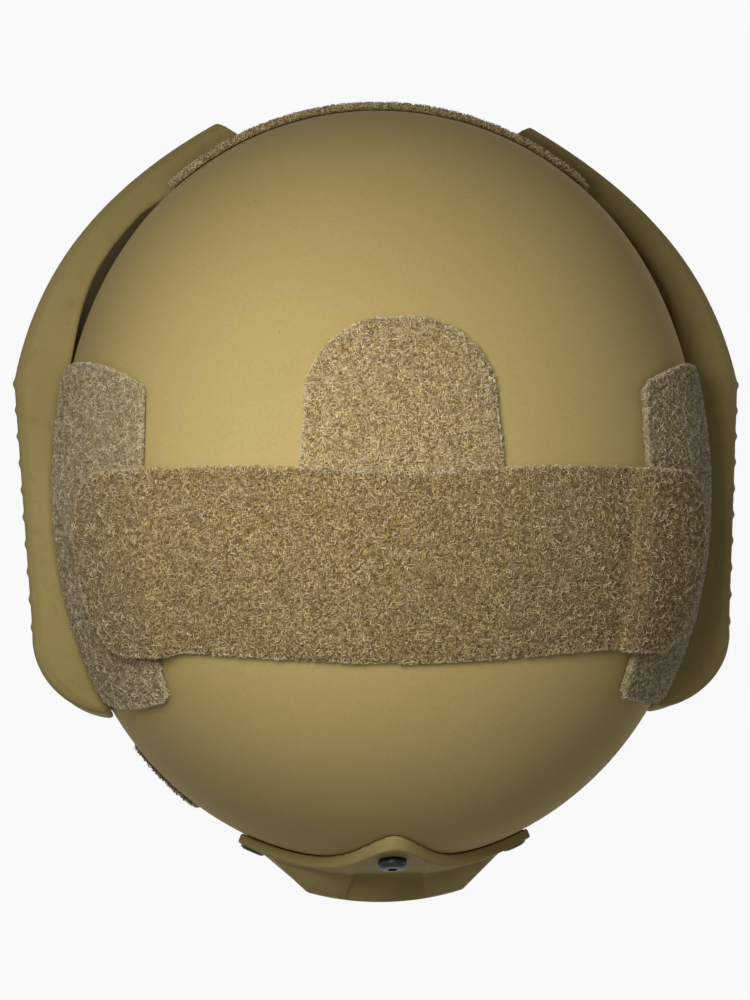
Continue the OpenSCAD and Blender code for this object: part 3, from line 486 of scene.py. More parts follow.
def loopFibre(name, tints):
    p = Paint(name, Roughness=0.4, Sheen_Weight=0.1, Specular_IOR_Level=0.4)
    colour = p.ramp(p.attribute("fleck"), *zip((0.0, 0.45, 0.8, 1.0), [srgb(*c) for c in tints]))
    along = p.noise(2500, 1, 0.5)
    return p.to(Base_Color=p.mix(0.25 * along, colour, (120, 98, 62)),
                Roughness=0.32 + 0.16 * along)


def webbing(ribPitch=1.25, pickPitch=1.5):
    p = Paint("tanWebbing", Roughness=0.8, Sheen_Weight=0.2)
    along, across = p.woven()
    ribs = (across * (2 * math.pi / ribPitch)).sine()
    picks = (along * (2 * math.pi / pickPitch) + ribs.sign() * (math.pi / 2)).sine()
    thread = (ribs * 0.5 + 0.5) ** 0.5 * 0.6 + (picks * 0.5 + 0.5) * 0.4
    dust = p.noise(220, 4, 0.6)
    colour = p.tone(thread, 0.2, 0.8, (92, 79, 52), (146, 128, 89))
    colour = p.tone(dust, 0.45, 0.75, colour, (112, 98, 68), 0.3)
    return p.to(Base_Color=colour, Roughness=0.72 + 0.18 * dust,
                Normal=p.bump(thread, 0.7, 0.0003))


def padFabric():
    p = Paint("padFabric", Roughness=0.92, Sheen_Weight=0.35, Specular_IOR_Level=0.2)
    knit, fuzz = p.cells(1700), p.noise(2600, 3, 0.65)
    colour = p.tone(knit, 0.1, 0.7, (84, 80, 69), (44, 43, 38))
    colour = p.tone(p.noise(45, 4, 0.6), 0.4, 0.75, colour, (104, 98, 83), 0.3)
    return p.to(Base_Color=colour, Roughness=0.84 + 0.12 * fuzz,
                Normal=p.bump(fuzz * 0.5 - knit, 0.6, 0.0003))


def cupLeather():
    p = Paint("cupLeather", Roughness=0.55)
    grain, creases = p.cells(420), p.noise(60, 5, 0.65)
    colour = p.tone(creases, 0.3, 0.7, (104, 86, 55), (138, 118, 80))
    colour = p.tone(grain, 0.0, 0.5, colour, (84, 68, 42), 0.35)
    return p.to(Base_Color=colour, Roughness=0.46 + 0.2 * creases,
                Normal=p.bump(creases * 0.6 - grain, 0.5, 0.0003))


def blackPlastic():
    p = Paint("blackPlastic", Roughness=0.5)
    fine = p.noise(1400, 2, 0.6)
    colour = p.tone(p.noise(70, 5, 0.7), 0.5, 0.8, (27, 27, 25), (54, 53, 49), 0.4)
    return p.to(Base_Color=colour, Roughness=0.42 + 0.2 * fine, Normal=p.bump(fine, 0.3, 0.0001))


def blackSteel():
    p = Paint("blackSteel", Roughness=0.35, Metallic=0.85)
    wear = p.noise(500, 4, 0.7)
    colour = p.tone(wear, 0.62, 0.8, (38, 38, 38), (96, 94, 90), 0.5)
    return p.to(Base_Color=colour, Roughness=0.3 + 0.2 * wear, Normal=p.bump(wear, 0.15, 0.00005))


def hookTape():
    p = Paint("hookTape", Roughness=0.7)
    hooks = p.cells(900)
    colour = p.tone(hooks, 0.15, 0.6, (52, 52, 50), (14, 14, 14))
    return p.to(Base_Color=colour, Normal=p.bump(0.6 - hooks, 0.9, 0.0004))


def rimRubber():
    p = Paint("rimRubber", Roughness=0.7)
    fine = p.noise(1200, 2, 0.6)
    colour = p.tone(p.noise(35, 4, 0.6), 0.35, 0.7, (126, 110, 72), (144, 127, 86))
    return p.to(Base_Color=colour, Roughness=0.6 + 0.2 * fine, Normal=p.bump(fine, 0.3, 0.0001))


def laceCord(twist=4.2):
    p = Paint("laceCord", Roughness=0.7)
    along, around = p.woven()
    strands = [(along * twist + around).sine(), (along * twist - around).sine()]
    braid = strands[0].larger(strands[1]) * 0.5 + 0.5
    return p.to(Base_Color=p.mix(braid, (20, 20, 18), (70, 68, 62)),
                Normal=p.bump(braid, 0.6, 0.0002))


def sewingThread():
    p = Paint("sewingThread", Roughness=0.6)
    twist = p.noise(1500, 2, 0.6)
    return p.to(Base_Color=p.mix(twist, (104, 90, 60), (160, 142, 102)),
                Normal=p.bump(twist, 0.4, 0.0001))


paints = dict(shell=shellPaint("shellPaint"), inside=shellPaint("shellPaintInside", 0.86),
              shroud=mouldedTan("shroudPlastic", (170, 153, 99), (160, 143, 90)),
              rail=mouldedTan("railPlastic", (172, 154, 99), (162, 144, 90)),
              rubber=rimRubber(), thread=sewingThread(), web=webbing(), pad=padFabric(),
              leather=cupLeather(), plastic=blackPlastic(), steel=blackSteel(), hook=hookTape(),
              lace=laceCord())
# three tints of the ground cloth and four of the fibres of each loop patch; the crown tab is the
# strip's cloth, with its tints painted lighter as a painted sheen
loopTints = dict(
    strip=[(84, 66, 36), (150, 127, 79), (222, 201, 148),
           (96, 76, 40), (176, 151, 98), (236, 216, 164), (252, 244, 216)],
    # painted sheen: the tab's ground and fibre tints are the strip's, made lighter where light glances
    # off the tab
    tab=[(98, 78, 44), (174, 150, 99), (238, 220, 172),
         (116, 94, 52), (204, 181, 128), (248, 233, 190), (255, 250, 230)],
    side=[(104, 89, 57), (166, 148, 104), (226, 211, 165),
          (118, 102, 66), (194, 176, 130), (240, 226, 184), (250, 244, 222)])
for label, tints in loopTints.items():
    paints[label + "Ground"] = loopGround(label + "Ground", tints[:3])
    paints[label + "Fibre"] = loopFibre(label + "Fibre", tints[3:])
print("materials mixed")


def dress(piece, finish, body, stands=()):
    # a piece that is blended between bodies has no body of its own
    piece.data.materials.clear()
    piece.data.materials.append(paints[finish].material)
    if body:
        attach(piece, body)
    if stands:
        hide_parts(*stands)
    return piece


# Shell, and the rubber channel that covers its rim.
trimShape = dict(wall=1.8, leg=8, gap=0.5, columns=360,
                 rounding=[0.8, 0.3, 0.3, 0.8, 0.8, 1.6, 1.6, 0.8])


def buildShell():
    s, t = shellShape, trimShape
    c = s["columns"]
    a = np.arange(c) * 360 / c
    low = rimZ(a) + (t["wall"] + t["gap"]) * steepness(a)
    share = np.linspace(0, 1, s["rings"] + 1)[1:, None]
    offs = (0.0, -float(s["wall"]))
    outer, inner = [shellPoint(a[None, :], polarAt(low, off)[None, :] * share, off)
                    for off in offs]
    rings = np.concatenate([outer, inner[::-1]])
    points = np.concatenate([rings.reshape(-1, 3), [shellPoint(0, 0, off) for off in offs]])
    quads = gridQuads(len(rings), c, closedColumns=True)
    piece = meshFrom("shellSkin", points, [quads] + capFans(len(rings), c))
    dress(piece, "shell", "helmet", ["shell"])
    piece.data.materials.append(paints["inside"].material)
    within = np.arange(len(quads)) // c >= s["rings"]
    index = np.concatenate([within, np.zeros(c), np.ones(c)]).astype(np.int32)
    piece.data.polygons.foreach_set("material_index", index)


def buildTrim():
    t = trimShape
    inside, gap, tall = -float(shellShape["wall"]), t["gap"], t["wall"] + t["leg"]
    out = gap + t["wall"]
    section = [[gap, tall], [gap, t["wall"]], [inside - gap, t["wall"]], [inside - gap, tall],
               [inside - out, tall], [inside - out, 0], [out, 0], [out, tall]]
    section = rounded(section, t["rounding"], 5)
    a = (np.arange(t["columns"]) * 360 / t["columns"])[:, None]
    rings = atHeight(a, rimZ(a) + section[None, :, 1] * steepness(a), section[None, :, 0])
    dress(sweep("rimChannel", rings, closed=True), "rubber", "helmet",
          ["edge_trim"])


buildShell()
buildTrim()
print("shell and rim made")


# Front mount: a thin plate with a socket block, both one moulding.
shroudShape = dict(halfAngle=22, plate=4.4, bow=0.9, skirt=24, wingLift=20, wingFrom=0.55,
                   shoulder=62, arch=10, top=105.3, lobe=16, reach=146, mouth=17, floor=21,
                   floorDepth=9, socketTop=56, shelfBack=(136.1, 65), shelfFront=(144.8, 59),
                   thinAngle=4.8, thinRim=1.6, columns=180, rows=90, voxel=0.55, smoothing=3)
# tables of height and half width, at the socket block's foot and at its face, and of height
# and how far the face lies back
blockShape = dict(foot=[[22, 38], [29, 42], [50, 44], [61, 42], [71, 34], [74, 20]],
                  face=[[22, 22], [29, 26.2], [50, 27], [59, 26.4], [63, 25.4], [72, 19]],
                  back=[[22, 6], [29, 1.6], [50, 0.8], [57, 0], [60.5, 0.6], [71, 8.2], [75, 18]],
                  root=127.5, roundness=3.5)
pocketPlan = [(-10.2, 3), (10.2, 3), (14, -12), (17.8, -28), (-17.8, -28), (-14, -12)]
# azimuth, height and how far out the head's seat lies
mountBolts = [(0, 92, 3.4), (19.5, 55, 1.5), (-19.5, 55, 1.5)]
railBolts = [(60, 66, 7.5), (152, 64, 9.0)]
screwShape = dict(head=4.6, shank=2.4, play=0.3, inwards=-4, outwards=40)


def screwHoles(bolts):
    s = screwShape
    holes = []
    for a, z, seat in bolts:
        point, normal = onShell(a, z)
        for radius, low in ((s["shank"], s["inwards"]), (s["head"], seat)):
            holes.append(cylinderPiece(point, normal, radius + s["play"], low, s["outwards"]))
    return holes


def blockRadius(a, z):
    b = blockShape
    foot, face, back = [np.interp(z, *np.array(b[key], float).T)
                        for key in ("foot", "face", "back")]
    reach = shroudShape["reach"] - back
    corner = reach - b["roundness"]
    side = ((foot * corner - b["root"] * face)
            / ((corner - b["root"]) * sinD(a) - (face - foot) * cosD(a)))
    front = reach - b["roundness"] * (reach * np.tan(np.radians(a)) / face) ** 2
    return np.minimum(front / cosD(a), side)


def mountUpper(a):
    s = shroudShape
    x = sinD(a) / sinD(s["halfAngle"])
    lobe = np.exp(-(meanRadius * sinD(a) / s["lobe"]) ** 2)
    return (s["shoulder"] + s["arch"] * (1 - x * x)
            + (s["top"] - s["shoulder"] - s["arch"]) * lobe)


def shroudPockets():
    # the recess behind the arch, down to its sloping shelf, and the socket in the block
    s = shroudShape
    front = shellShape["length"] / 2
    (backY, backZ), (frontY, frontZ) = s["shelfBack"], s["shelfFront"]
    recess = prismPiece([(x, y - front) for x, y in pocketPlan], 50, 80,
                        lambda u, v, w: (u, v, w))
    thin = np.arange(-s["thinAngle"], s["thinAngle"] + 0.1, 0.3)
    thinX = (front - 2) * sinD(s["thinAngle"])
    arc = [((front - 2) * sinD(t), mountUpper(t) - s["thinRim"]) for t in thin]
    arch = prismPiece([(-thinX, frontZ)] + arc + [(thinX, frontZ)], 0, 160,
                      lambda u, v, w: (u, -w, v))
    fall = (backZ - frontZ) / (frontY - backY)
    wedge = ([(-backY, backZ)]
             + [(atHeight(0, z, s["plate"] - 1)[1], z) for z in (76, 82, 87, 92, 97, 103)]
             + [(-160, 103), (-160, backZ - fall * (160 - backY))])
    for cutter in (recess, arch):
        part = prismPiece(wedge, -30, 30, lambda u, v, w: (w, u, v))
        combine(cutter, [part], "INTERSECT")
    floorY, mouthY = s["floorDepth"] - s["reach"], -s["reach"] - 1
    socket = prismPiece([(-s["floor"] / 2, floorY), (s["floor"] / 2, floorY),
                         (s["mouth"] / 2, mouthY), (-s["mouth"] / 2, mouthY)],
                        0, s["socketTop"], lambda u, v, w: (u, v, w))
    return [recess, arch, socket]


def buildShroud():
    s = shroudShape
    a = np.linspace(-s["halfAngle"], s["halfAngle"], s["columns"])[None, :]
    share = np.linspace(1, 0, s["rows"])[:, None]
    x = sinD(a) / sinD(s["halfAngle"])
    wings = np.maximum(np.abs(x) - s["wingFrom"], 0) / (1 - s["wingFrom"])
    lower = s["skirt"] + s["wingLift"] * wings ** 1.5
    z = lower + (mountUpper(a) - lower) * share
    face = atHeight(a, z, s["plate"] - s["bow"] * x ** 2)
    push = np.maximum(1, blockRadius(np.abs(a), z) / np.linalg.norm(face[..., :2], axis=-1))
    outer = face * np.stack([push, push, np.ones_like(push)], -1)
    piece = skin("frontMount", outer, atHeight(a, z, 0.3))
    combine(piece, shroudPockets() + screwHoles(mountBolts))
    moulded(piece, s["voxel"], s["smoothing"])
    dress(piece, "shroud", "helmet", ["shroud"])


buildShroud()
print("front mount made")


# Accessory rails: dovetail channel, index ridges and a rear wing that stands off the shell.
railShape = dict(reach=124.2, taper=0.1035, z=74, height=28, frontAngle=49, knee=104, rear=157,
                 end=162.5, channel=3.2, mouth=14, land=0.15, lip=1.2, undercut=2.5,
                 ridges=10, pitch=9.4, ridgeOut=0.6, ridgeHalf=1.5, ridgeFlank=0.9, firstRidge=31,
                 seat=0.4, wingGap=4.3, wingOut=16.4, wingSag=1.2, trimRoom=2.6,
                 cornerAngle=58.7, cornerBack=16.5, cornerRadius=26.5, cornerEnd=65,
                 tipAngle=156.6, tipBack=0.6, endTurn=34.5, stations=640, voxel=0.6, smoothing=3)


def railFace(a):
    r = railShape
    line = lambda q: r["reach"] / (sinD(q) + r["taper"] * cosD(q))
    d, q = r["reach"] - r["cornerBack"], a - r["cornerAngle"]
    corner = d * cosD(q) + np.sqrt(np.maximum(r["cornerRadius"] ** 2 - (d * sinD(q)) ** 2, 0))
    t = (a - r["knee"]) / (r["rear"] - r["knee"])
    wing = line(r["knee"]) + r["wingOut"] * t - r["wingSag"] * sinD(180 * t)
    return np.where(a < r["cornerEnd"], corner, np.where(a > r["knee"], wing, line(a)))


def railEnd():
    # a block that cuts the rail's end slanting
    r = railShape
    reach = railFace(np.array(r["tipAngle"])) - r["tipBack"]
    x, y = reach * sinD(r["tipAngle"]), -reach * cosD(r["tipAngle"])
    c, s = cosD(r["endTurn"]), sinD(r["endTurn"])
    return prismPiece([(-40, 0), (40, 0), (40, 40), (-40, 40)], 30, 120,
                      lambda u, v, w: (x + u * c - v * s, y + u * s + v * c, w))


def buildRail(sign, name, node):
    r = railShape
    a = np.linspace(r["frontAngle"], r["end"], r["stations"])
    f = railFace(a)
    # middle height and half height, both less at the ends
    z = r["z"] - 6 * (1 - wave(46, 64, a)) - 8 * wave(112, r["rear"], a)
    h = r["height"] / 2 - 3 * (1 - wave(46, 60, a)) - 3 * wave(120, r["rear"], a)
    # gap to the shell, depth of the channel and room over the rim's channel
    g = r["seat"] + (r["wingGap"] - r["seat"]) * between((106, 128), (138, 149), a)
    c = r["land"] + (r["channel"] - r["land"]) * between((61, 66), (105, 111), a)
    over = np.maximum(g, r["trimRoom"] * between((60, 70), (134, 142), a))
    mouth = r["mouth"] / 2
    under = mouth - r["lip"] + r["undercut"] * c / r["channel"]
    trimTop = rimZ(a) + (trimShape["wall"] + trimShape["leg"]) * steepness(a)
    ledge = np.minimum(np.maximum(trimTop + 0.3, z - h + 2), z - 2)
    deep = f - planRadius(a) - over
    k, l = np.minimum(4, deep / 2), np.minimum(1.5, deep / 4)
    y = -f * cosD(a)
    place = (r["firstRidge"] - y) / r["pitch"]
    nearest = np.abs(place - np.round(place)) * r["pitch"]
    lastRidge = r["firstRidge"] - (r["ridges"] - 1) * r["pitch"]
    inRow = (y < r["firstRidge"] + 2) & (y > lastRidge - 2)
    ridge = np.clip((r["ridgeHalf"] - nearest) / r["ridgeFlank"], 0, 1)
    out = f + np.where(inRow, r["ridgeOut"] * ridge, 0)
    profile = [(f - k, -h), (f - 0.28 * k, 1.5 - h), (out, 3.4 - h), (out, -mouth), (f - c, -under),
               (f - c, under), (out, mouth), (out, h - 3.4), (f - 0.28 * k, h - 1.5), (f - k, h)]
    inner = [atHeight(a, ledge, over), atHeight(a, z - h + 1, over), atHeight(a, z - h, over + l)]
    outer = [np.stack([q * sinD(a), -q * cosD(a), z + e], -1) for q, e in profile]
    back = [atHeight(a, z + h, g + l), atHeight(a, z + h - 1, g), atHeight(a, z + h / 3, g),
            atHeight(a, ledge + 0.5, g)]
    cutters = screwHoles(railBolts) + [railEnd()]
    piece = sweep(name, np.stack(inner + outer + back, 1))
    combine(piece, cutters)
    moulded(piece, r["voxel"], r["smoothing"])
    if sign < 0:
        piece.data.transform(Matrix.Scale(-1, 4, (1, 0, 0)))
        piece.data.flip_normals()
    dress(piece, "rail", "helmet", [node])


buildRail(1, "railLeft", "rail_left")
buildRail(-1, "railRight", "rail_right")
print("rails made")


# Loop patches: a thin ground cloth with a pile of small curled loops.
pileShape = dict(ground=1.9, thinGround=1.1, relief=0.2, perLoop=0.8, length=(0.9, 2.0),
                 height=(0.4, 0.95), curl=0.7, radius=0.1, edgeLoops=4.0, edgeReach=1.25)
# degrees from the crown, and millimetres where the strip lies on the side patches
stripShape = dict(side=55, roundEnd=9, half=11, forward=20.5, bend=1.5, bendAt=38, lift=3.6,
                  ramp=(33.5, 38.5), glue=0.3)
tabShape = dict(half=12.5, start=9.1, long=17.9, glue=0.3)
sideShape = dict(middle=(55.1, 14.5), half=(15.7, 25.4), lean=2, slope=5.5, corner=0.05,
                 narrowing=0.08, glue=0.45)
rearSpot = [180, 68.5, 36.5, 6, 0.15]
frontSpot = [37.5, 100, 7, 5, 0.2]


def roundMap(u, v, k):
    return u * np.sqrt(1 - k * v * v), v * np.sqrt(1 - k * u * u)


def stripPoint(u, v, t):
    s = stripShape
    side = s["side"] * u
    inset = np.maximum(np.abs(side) - s["side"] + s["roundEnd"], 0) / s["roundEnd"]
    half = s["half"] * np.sqrt(1 - 0.95 * inset * inset)
    bend = s["bend"] * (side / s["bendAt"]) ** 2
    lift = s["lift"] * wave(*s["ramp"], np.abs(side))
    return byDirection(side, s["forward"] - bend * (1 - v) / 2 + half * v, s["glue"] + lift + t)


def tabPoint(u, v, t):
    s = tabShape
    v = (v + 1) / 2
    inset = np.maximum(v - 0.5, 0) / 0.5
    side = -s["half"] * u * np.sqrt(1 - 0.93 * inset * inset)
    return byDirection(side, s["start"] - s["long"] * v, s["glue"] + t)


def sidePoint(sign):
    s = sideShape

    def point(u, v, t):
        corner = np.clip(np.abs(v) - 1 + s["corner"], 0, s["corner"]) / s["corner"]
        narrow = 1 - s["narrowing"] * (1 - np.sqrt(1 - corner ** 2))
        q, w = roundMap(u * narrow, v, 0.12)
        side = s["middle"][0] + s["half"][0] * q + s["lean"] * w
        forward = s["middle"][1] + s["half"][1] * w - s["slope"] * q * (1 - w) / 2
        return byDirection(side, forward, s["glue"] + t) * np.array([sign, 1, 1])
    return point


def roundSpot(spot, sign=1, glue=0.0):
    # azimuth, angle from the crown, half sizes and roundness
    def point(u, v, t):
        q, w = roundMap(u, v, spot[4])
        made = shellPoint(spot[0] - spot[2] * q, spot[1] - spot[3] * w, t + glue)
        return made * np.array([sign, 1, 1])
    return point


def gridNormals(grid, heart=(0, 0, 40)):
    normal = unit(np.cross(np.gradient(grid, axis=0), np.gradient(grid, axis=1)))
    outwards = (normal.reshape(-1, 3) * unit(grid.reshape(-1, 3) - heart)).sum() > 0
    return normal if outwards else -normal


def curls(root, normal, side, dice, reach=1.0):
    # small bent loops, three-sided, with their feet in the ground cloth
    s = pileShape
    count = len(root)
    length = dice.uniform(*s["length"], (count, 1))
    height = dice.uniform(*s["height"], (count, 1)) * reach
    curl = dice.uniform(-s["curl"], s["curl"], (count, 1))
    thick = s["radius"] * dice.uniform(0.75, 1.25, (count, 1, 1, 1))
    steps = length * (np.array([0, 0.3, 0.68, 1.0]) - 0.5)
    lift = height * np.array([-0.25, 0.85, 1.0, 0.1])
    sway = curl * np.array([0, 0.8, 0.3, -0.5])
    path = (root[:, None] + side[:, None] * steps[..., None] + normal[:, None] * lift[..., None]
            + np.cross(normal, side)[:, None] * sway[..., None])
    run = unit(np.gradient(path, axis=1))
    first = unit(np.cross(run, normal[:, None]))
    return tube(path, first, np.cross(first, run), thick, 3, np.pi / 2)


def growLoops(name, grid, seed, layers):
    s = pileShape
    dice = np.random.RandomState(seed)
    normals = gridNormals(grid)
    a, b, d = grid[:-1, :-1], grid[:-1, 1:], grid[1:, :-1]
    area = np.linalg.norm(np.cross(b - a, d - a), axis=-1).ravel()
    count = int(area.sum() / s["perLoop"] / layers)
    cell = dice.choice(len(area), count, p=area / area.sum())
    i, j = np.unravel_index(cell, (grid.shape[0] - 1, grid.shape[1] - 1))
    fu, fv = dice.rand(2, count, 1)
    blend = lambda g: ((g[i, j] * (1 - fv) + g[i, j + 1] * fv) * (1 - fu)
                       + (g[i + 1, j] * (1 - fv) + g[i + 1, j + 1] * fv) * fu)
    root, normal = blend(grid), unit(blend(normals))
    side = unit(np.cross(normal, unit(dice.randn(count, 3))))
    rings = [curls(root, normal, side, dice)]
    fleck = [dice.beta(1.1, 1.3, count)]
    # paler loops that lean out over the cut edges
    border = lambda g: np.concatenate([g[0], g[1:-1, -1], g[-1, ::-1], g[-2:0:-1, 0]])
    rim, up = border(grid), border(normals)
    ahead = np.roll(rim, -1, 0) - rim
    long = np.linalg.norm(ahead, axis=1)
    count = int(long.sum() * s["edgeLoops"] / layers)
    k = dice.choice(len(rim), count, p=long / long.sum())
    f = dice.rand(count, 1)
    outwards = unit(np.cross(ahead[k], up[k]))
    if ((rim[k] - grid.reshape(-1, 3).mean(0)) * outwards).sum() < 0:
        outwards = -outwards
    drop = dice.uniform(0.0, 0.9, (count, 1))
    lean = unit(outwards * dice.uniform(0.3, 1.0, (count, 1)) + up[k] * (0.9 - drop))
    root = rim[k] + ahead[k] * f - up[k] * drop * 1.2 - outwards * 0.15
    side = unit(np.cross(lean, unit(dice.randn(count, 3))))
    rings.append(curls(root, lean, side, dice, s["edgeReach"]))
    fleck.append(0.25 + 0.75 * dice.beta(2.0, 1.6, count))
    rings = np.concatenate(rings)
    each = rings.shape[1] * rings.shape[2]
    return tubeBundle(name, rings, dict(fleck=np.repeat(np.concatenate(fleck), each)))


def loopPatch(name, node, point, columns, rows, seed, tint="strip", height=pileShape["ground"],
              layers=1):
    dice = np.random.RandomState(seed + 50)
    u, v = spread(columns, rows)
    relief = pileShape["relief"] * dice.uniform(-1, 1, (rows, columns))
    ground = point(u, v, height + relief)
    base = skin(name, ground, point(u, v, 0.0))
    dress(base, tint + "Ground", "helmet", [node])
    for layer in range(layers):
        pile = growLoops(name + "Pile" + "AB"[layer], ground, seed + 20 * layer, layers)
        dress(pile, tint + "Fibre", "helmet")


loopPatch("topStrip", "patch_top_strip", stripPoint, 281, 57, 1, layers=2)
loopPatch("crownTab", "patch_crown", tabPoint, 61, 49, 2, "tab")
for sign, word, seed in ((1, "Left", 3), (-1, "Right", 4)):
    loopPatch("sidePatch" + word, "patch_side_" + word.lower(), sidePoint(sign), 61, 121, seed,
              "side")
loopPatch("rearBand", "patch_rear", roundSpot(rearSpot, 1, 0.3), 181, 31, 5)
# the front patches show only a thin fuzz
for sign, word, seed in ((1, "Left", 6), (-1, "Right", 7)):
    loopPatch("frontPatch" + word, "patch_front_" + word.lower(),
              roundSpot(frontSpot, sign, 0.3), 19, 21, seed, height=pileShape["thinGround"])
print("loop patches made")


# Fitting pads: foam in a knitted cover, swollen by a short cloth simulation.
padShape = dict(thick=18.0, back=10.25, disc=1.0, rim=2.0, shrink=0.9, voxel=4.0, pressure=12.0,
                cap=4.0, frames=20, held=1.7, seam=5.0, piping=0.9, fill=0.7)
padSpots = dict(Front=[0, 85, 27, 14, 0.3], Rear=[180, 80, 20, 13, 0.3],
                SideFrontLeft=[58, 60, 21, 17, 0.35], SideFrontRight=[-58, 60, 21, 17, 0.35],
                SideRearLeft=[122, 60, 21, 17, 0.35], SideRearRight=[-122, 60, 21, 17, 0.35])


def crownPoint(u, v, t):
    q, w = roundMap(u, v, 0.48)
    return byDirection(27 * q, 27 * w, t)


def padEdge(u, v):
    return np.maximum(np.abs(u), np.abs(v)) ** 4


def padFace(point, u, v, depth):
    s = padShape
    return point(u * s["shrink"], v * s["shrink"], -s["back"] - depth)


def padBack(point, u, v):
    # the face that sticks to the hook discs
    return padFace(point, u, v, padShape["disc"] + padShape["rim"] * padEdge(u, v))


def vertexPoints(mesh):
    points = np.empty(len(mesh.vertices) * 3, np.float32)
    mesh.vertices.foreach_get("co", points)
    return points.reshape(-1, 3).astype(float) * 1000


def roundedPad(name, point):
    s = padShape
    u, v = spread(17, 17)
    deep = s["thick"] - s["disc"] - s["rim"]
    crowned = deep * (1 - 0.45 * padEdge(u, v)) * (1 - 0.06 * (u * u + v * v))
    piece = skin(name, padBack(point, u, v), padFace(point, u, v, s["disc"] + crowned))
    moulded(piece, s["voxel"])
    back = padBack(point, *spread(45, 45)).reshape(-1, 3)
    near = [np.linalg.norm(back - q, axis=1).min() < s["held"] for q in vertexPoints(piece.data)]
    group = piece.vertex_groups.new(name="held")
    group.add([int(k) for k in np.flatnonzero(near)], 1.0, "REPLACE")
    return piece


def swell(pieces):
    # a short cloth run puffs the covers up; no point moves further than the cap
    s = padShape
    for piece in pieces:
        cloth = piece.modifiers.new("cover", "CLOTH")
        cloth.settings.use_pressure = True
        cloth.settings.uniform_pressure_force = s["pressure"]
        cloth.settings.effector_weights.gravity = 0
        cloth.settings.vertex_group_mass = "held"
        cloth.collision_settings.use_collision = False
        cloth.point_cache.frame_end = s["frames"]
    for tick in range(1, s["frames"] + 1):
        scene.frame_set(tick)
    graph = bpy.context.evaluated_depsgraph_get()
    for piece in pieces:
        rest = vertexPoints(piece.data)
        move = vertexPoints(piece.evaluated_get(graph).data) - rest
        far = np.linalg.norm(move, axis=1, keepdims=True)
        piece.modifiers.clear()
        rest = rest + move * np.minimum(1, s["cap"] / np.maximum(far, 1e-9))
        piece.data.vertices.foreach_set("co", (rest / 1000).astype(np.float32).ravel())
        piece.data.update()
        print(piece.name, "swelled by up to", round(float(far.max()), 1), "mm")
    scene.frame_set(1)


def addPiping(piece, point, name):
    # the seam of the cover runs round the pad's side
    s = padShape
    corners, one = np.linspace(-1, 1, 25)[:-1], np.ones(24)
    u = np.concatenate([corners, one, -corners, -one])
    v = np.concatenate([-one, corners, one, -corners])
    tree = BVHTree.FromObject(piece, bpy.context.evaluated_depsgraph_get())
    found = [tree.find_nearest(Vector(q / 1000)) for q in padFace(point, u, v, s["seam"])]
    path = np.array([hit[0] for hit in found]) * 1000
    up = np.array([hit[1] for hit in found])
    for step in range(3):
        path = (np.roll(path, 1, 0) + 2 * path + np.roll(path, -1, 0)) / 4
    run = unit(np.roll(path, -1, 0) - np.roll(path, 1, 0))
    up = unit(up - run * (up * run).sum(1, keepdims=True))
    rings = tube(path + up * 0.3, np.cross(run, up), up, s["piping"], 8)
    dress(sweep(name, rings, closed=True), "pad", "helmet")


pads = []
padPoints = {label: roundSpot(spot) for label, spot in padSpots.items()}
for label, point in (padPoints | dict(Crown=crownPoint)).items():
    node = "pad" + "".join("_" + c.lower() if c.isupper() else c for c in label)
    pads.append((roundedPad("pad" + label, point), node, point))
swell([pad[0] for pad in pads])
for piece, node, point in pads:
    piece.vertex_groups.clear()
    piece.modifiers.new("round", "SUBSURF").levels = 1
    applyModifiers(piece)
    dress(piece, "pad", "helmet", [node])
    addPiping(piece, point, piece.name + "Piping")
print("pads made")


# Webbing: flat straps with a woven face, sewn where they end.
stitchShape = dict(first=0.3, pitch=3.0, long=2.2, radius=0.28, sunk=-0.15, raised=0.18)
webShape = dict(width=20.0, thick=1.6, x=84.0, z=5.5, junctionY=44.0, arcRadius=35.0,
                arcY=-46.0, cupHalf=33.0, buckleY=-16.0, buckleLong=26.0, maleLong=9.0,
                play=0.3, rounding=0.6)


def smoothRoute(route, step=1.0):
    route = np.asarray(route, float)
    ends = np.concatenate([[2 * route[0] - route[1]], route, [2 * route[-1] - route[-2]]])
    out = []
    for k in range(1, len(ends) - 2):
        a, b, c, d = ends[k - 1:k + 3]
        count = max(2, int(np.linalg.norm(c - b) / step))
        t = (np.arange(count) / count)[:, None]
        out.append(0.5 * (2 * b + (c - a) * t + (2 * a - 5 * b + 4 * c - d) * t ** 2
                          + (3 * b - a - 3 * c + d) * t ** 3))
    return np.concatenate(out + [route[-1:]])


def lengths(path):
    return np.concatenate([[0], np.cumsum(np.linalg.norm(np.diff(path, axis=0), axis=1))])


def weaveOf(along, across):
    along, across = np.broadcast_arrays(along, across)
    return np.stack([along, across, np.zeros(along.shape)], -1).reshape(-1, 3)


def stitches(name, rows):
    # rows: pairs of a path and its outward directions; each stitch is a short raised thread
    w = stitchShape
    rings = []
    for path, up in rows:
        along = lengths(path)
        at = (np.arange(w["first"], along[-1] - w["long"], w["pitch"])[:, None]
              + w["long"] * np.array([0, 0.5, 1.0]))
        spot, lift = [np.stack([np.interp(at, along, of[:, k]) for k in range(3)], -1)
                      for of in (path, up)]
        lift = unit(lift)
        side = np.cross(lift, np.broadcast_to(unit(spot[:, 2:] - spot[:, :1]), lift.shape))
        spot = spot + lift * np.array([w["sunk"], w["raised"], w["sunk"]])[None, :, None]
        rings.append(tube(spot, side, lift, w["radius"], 6))
    dress(tubeBundle(name, np.concatenate(rings)), "thread", "helmet")


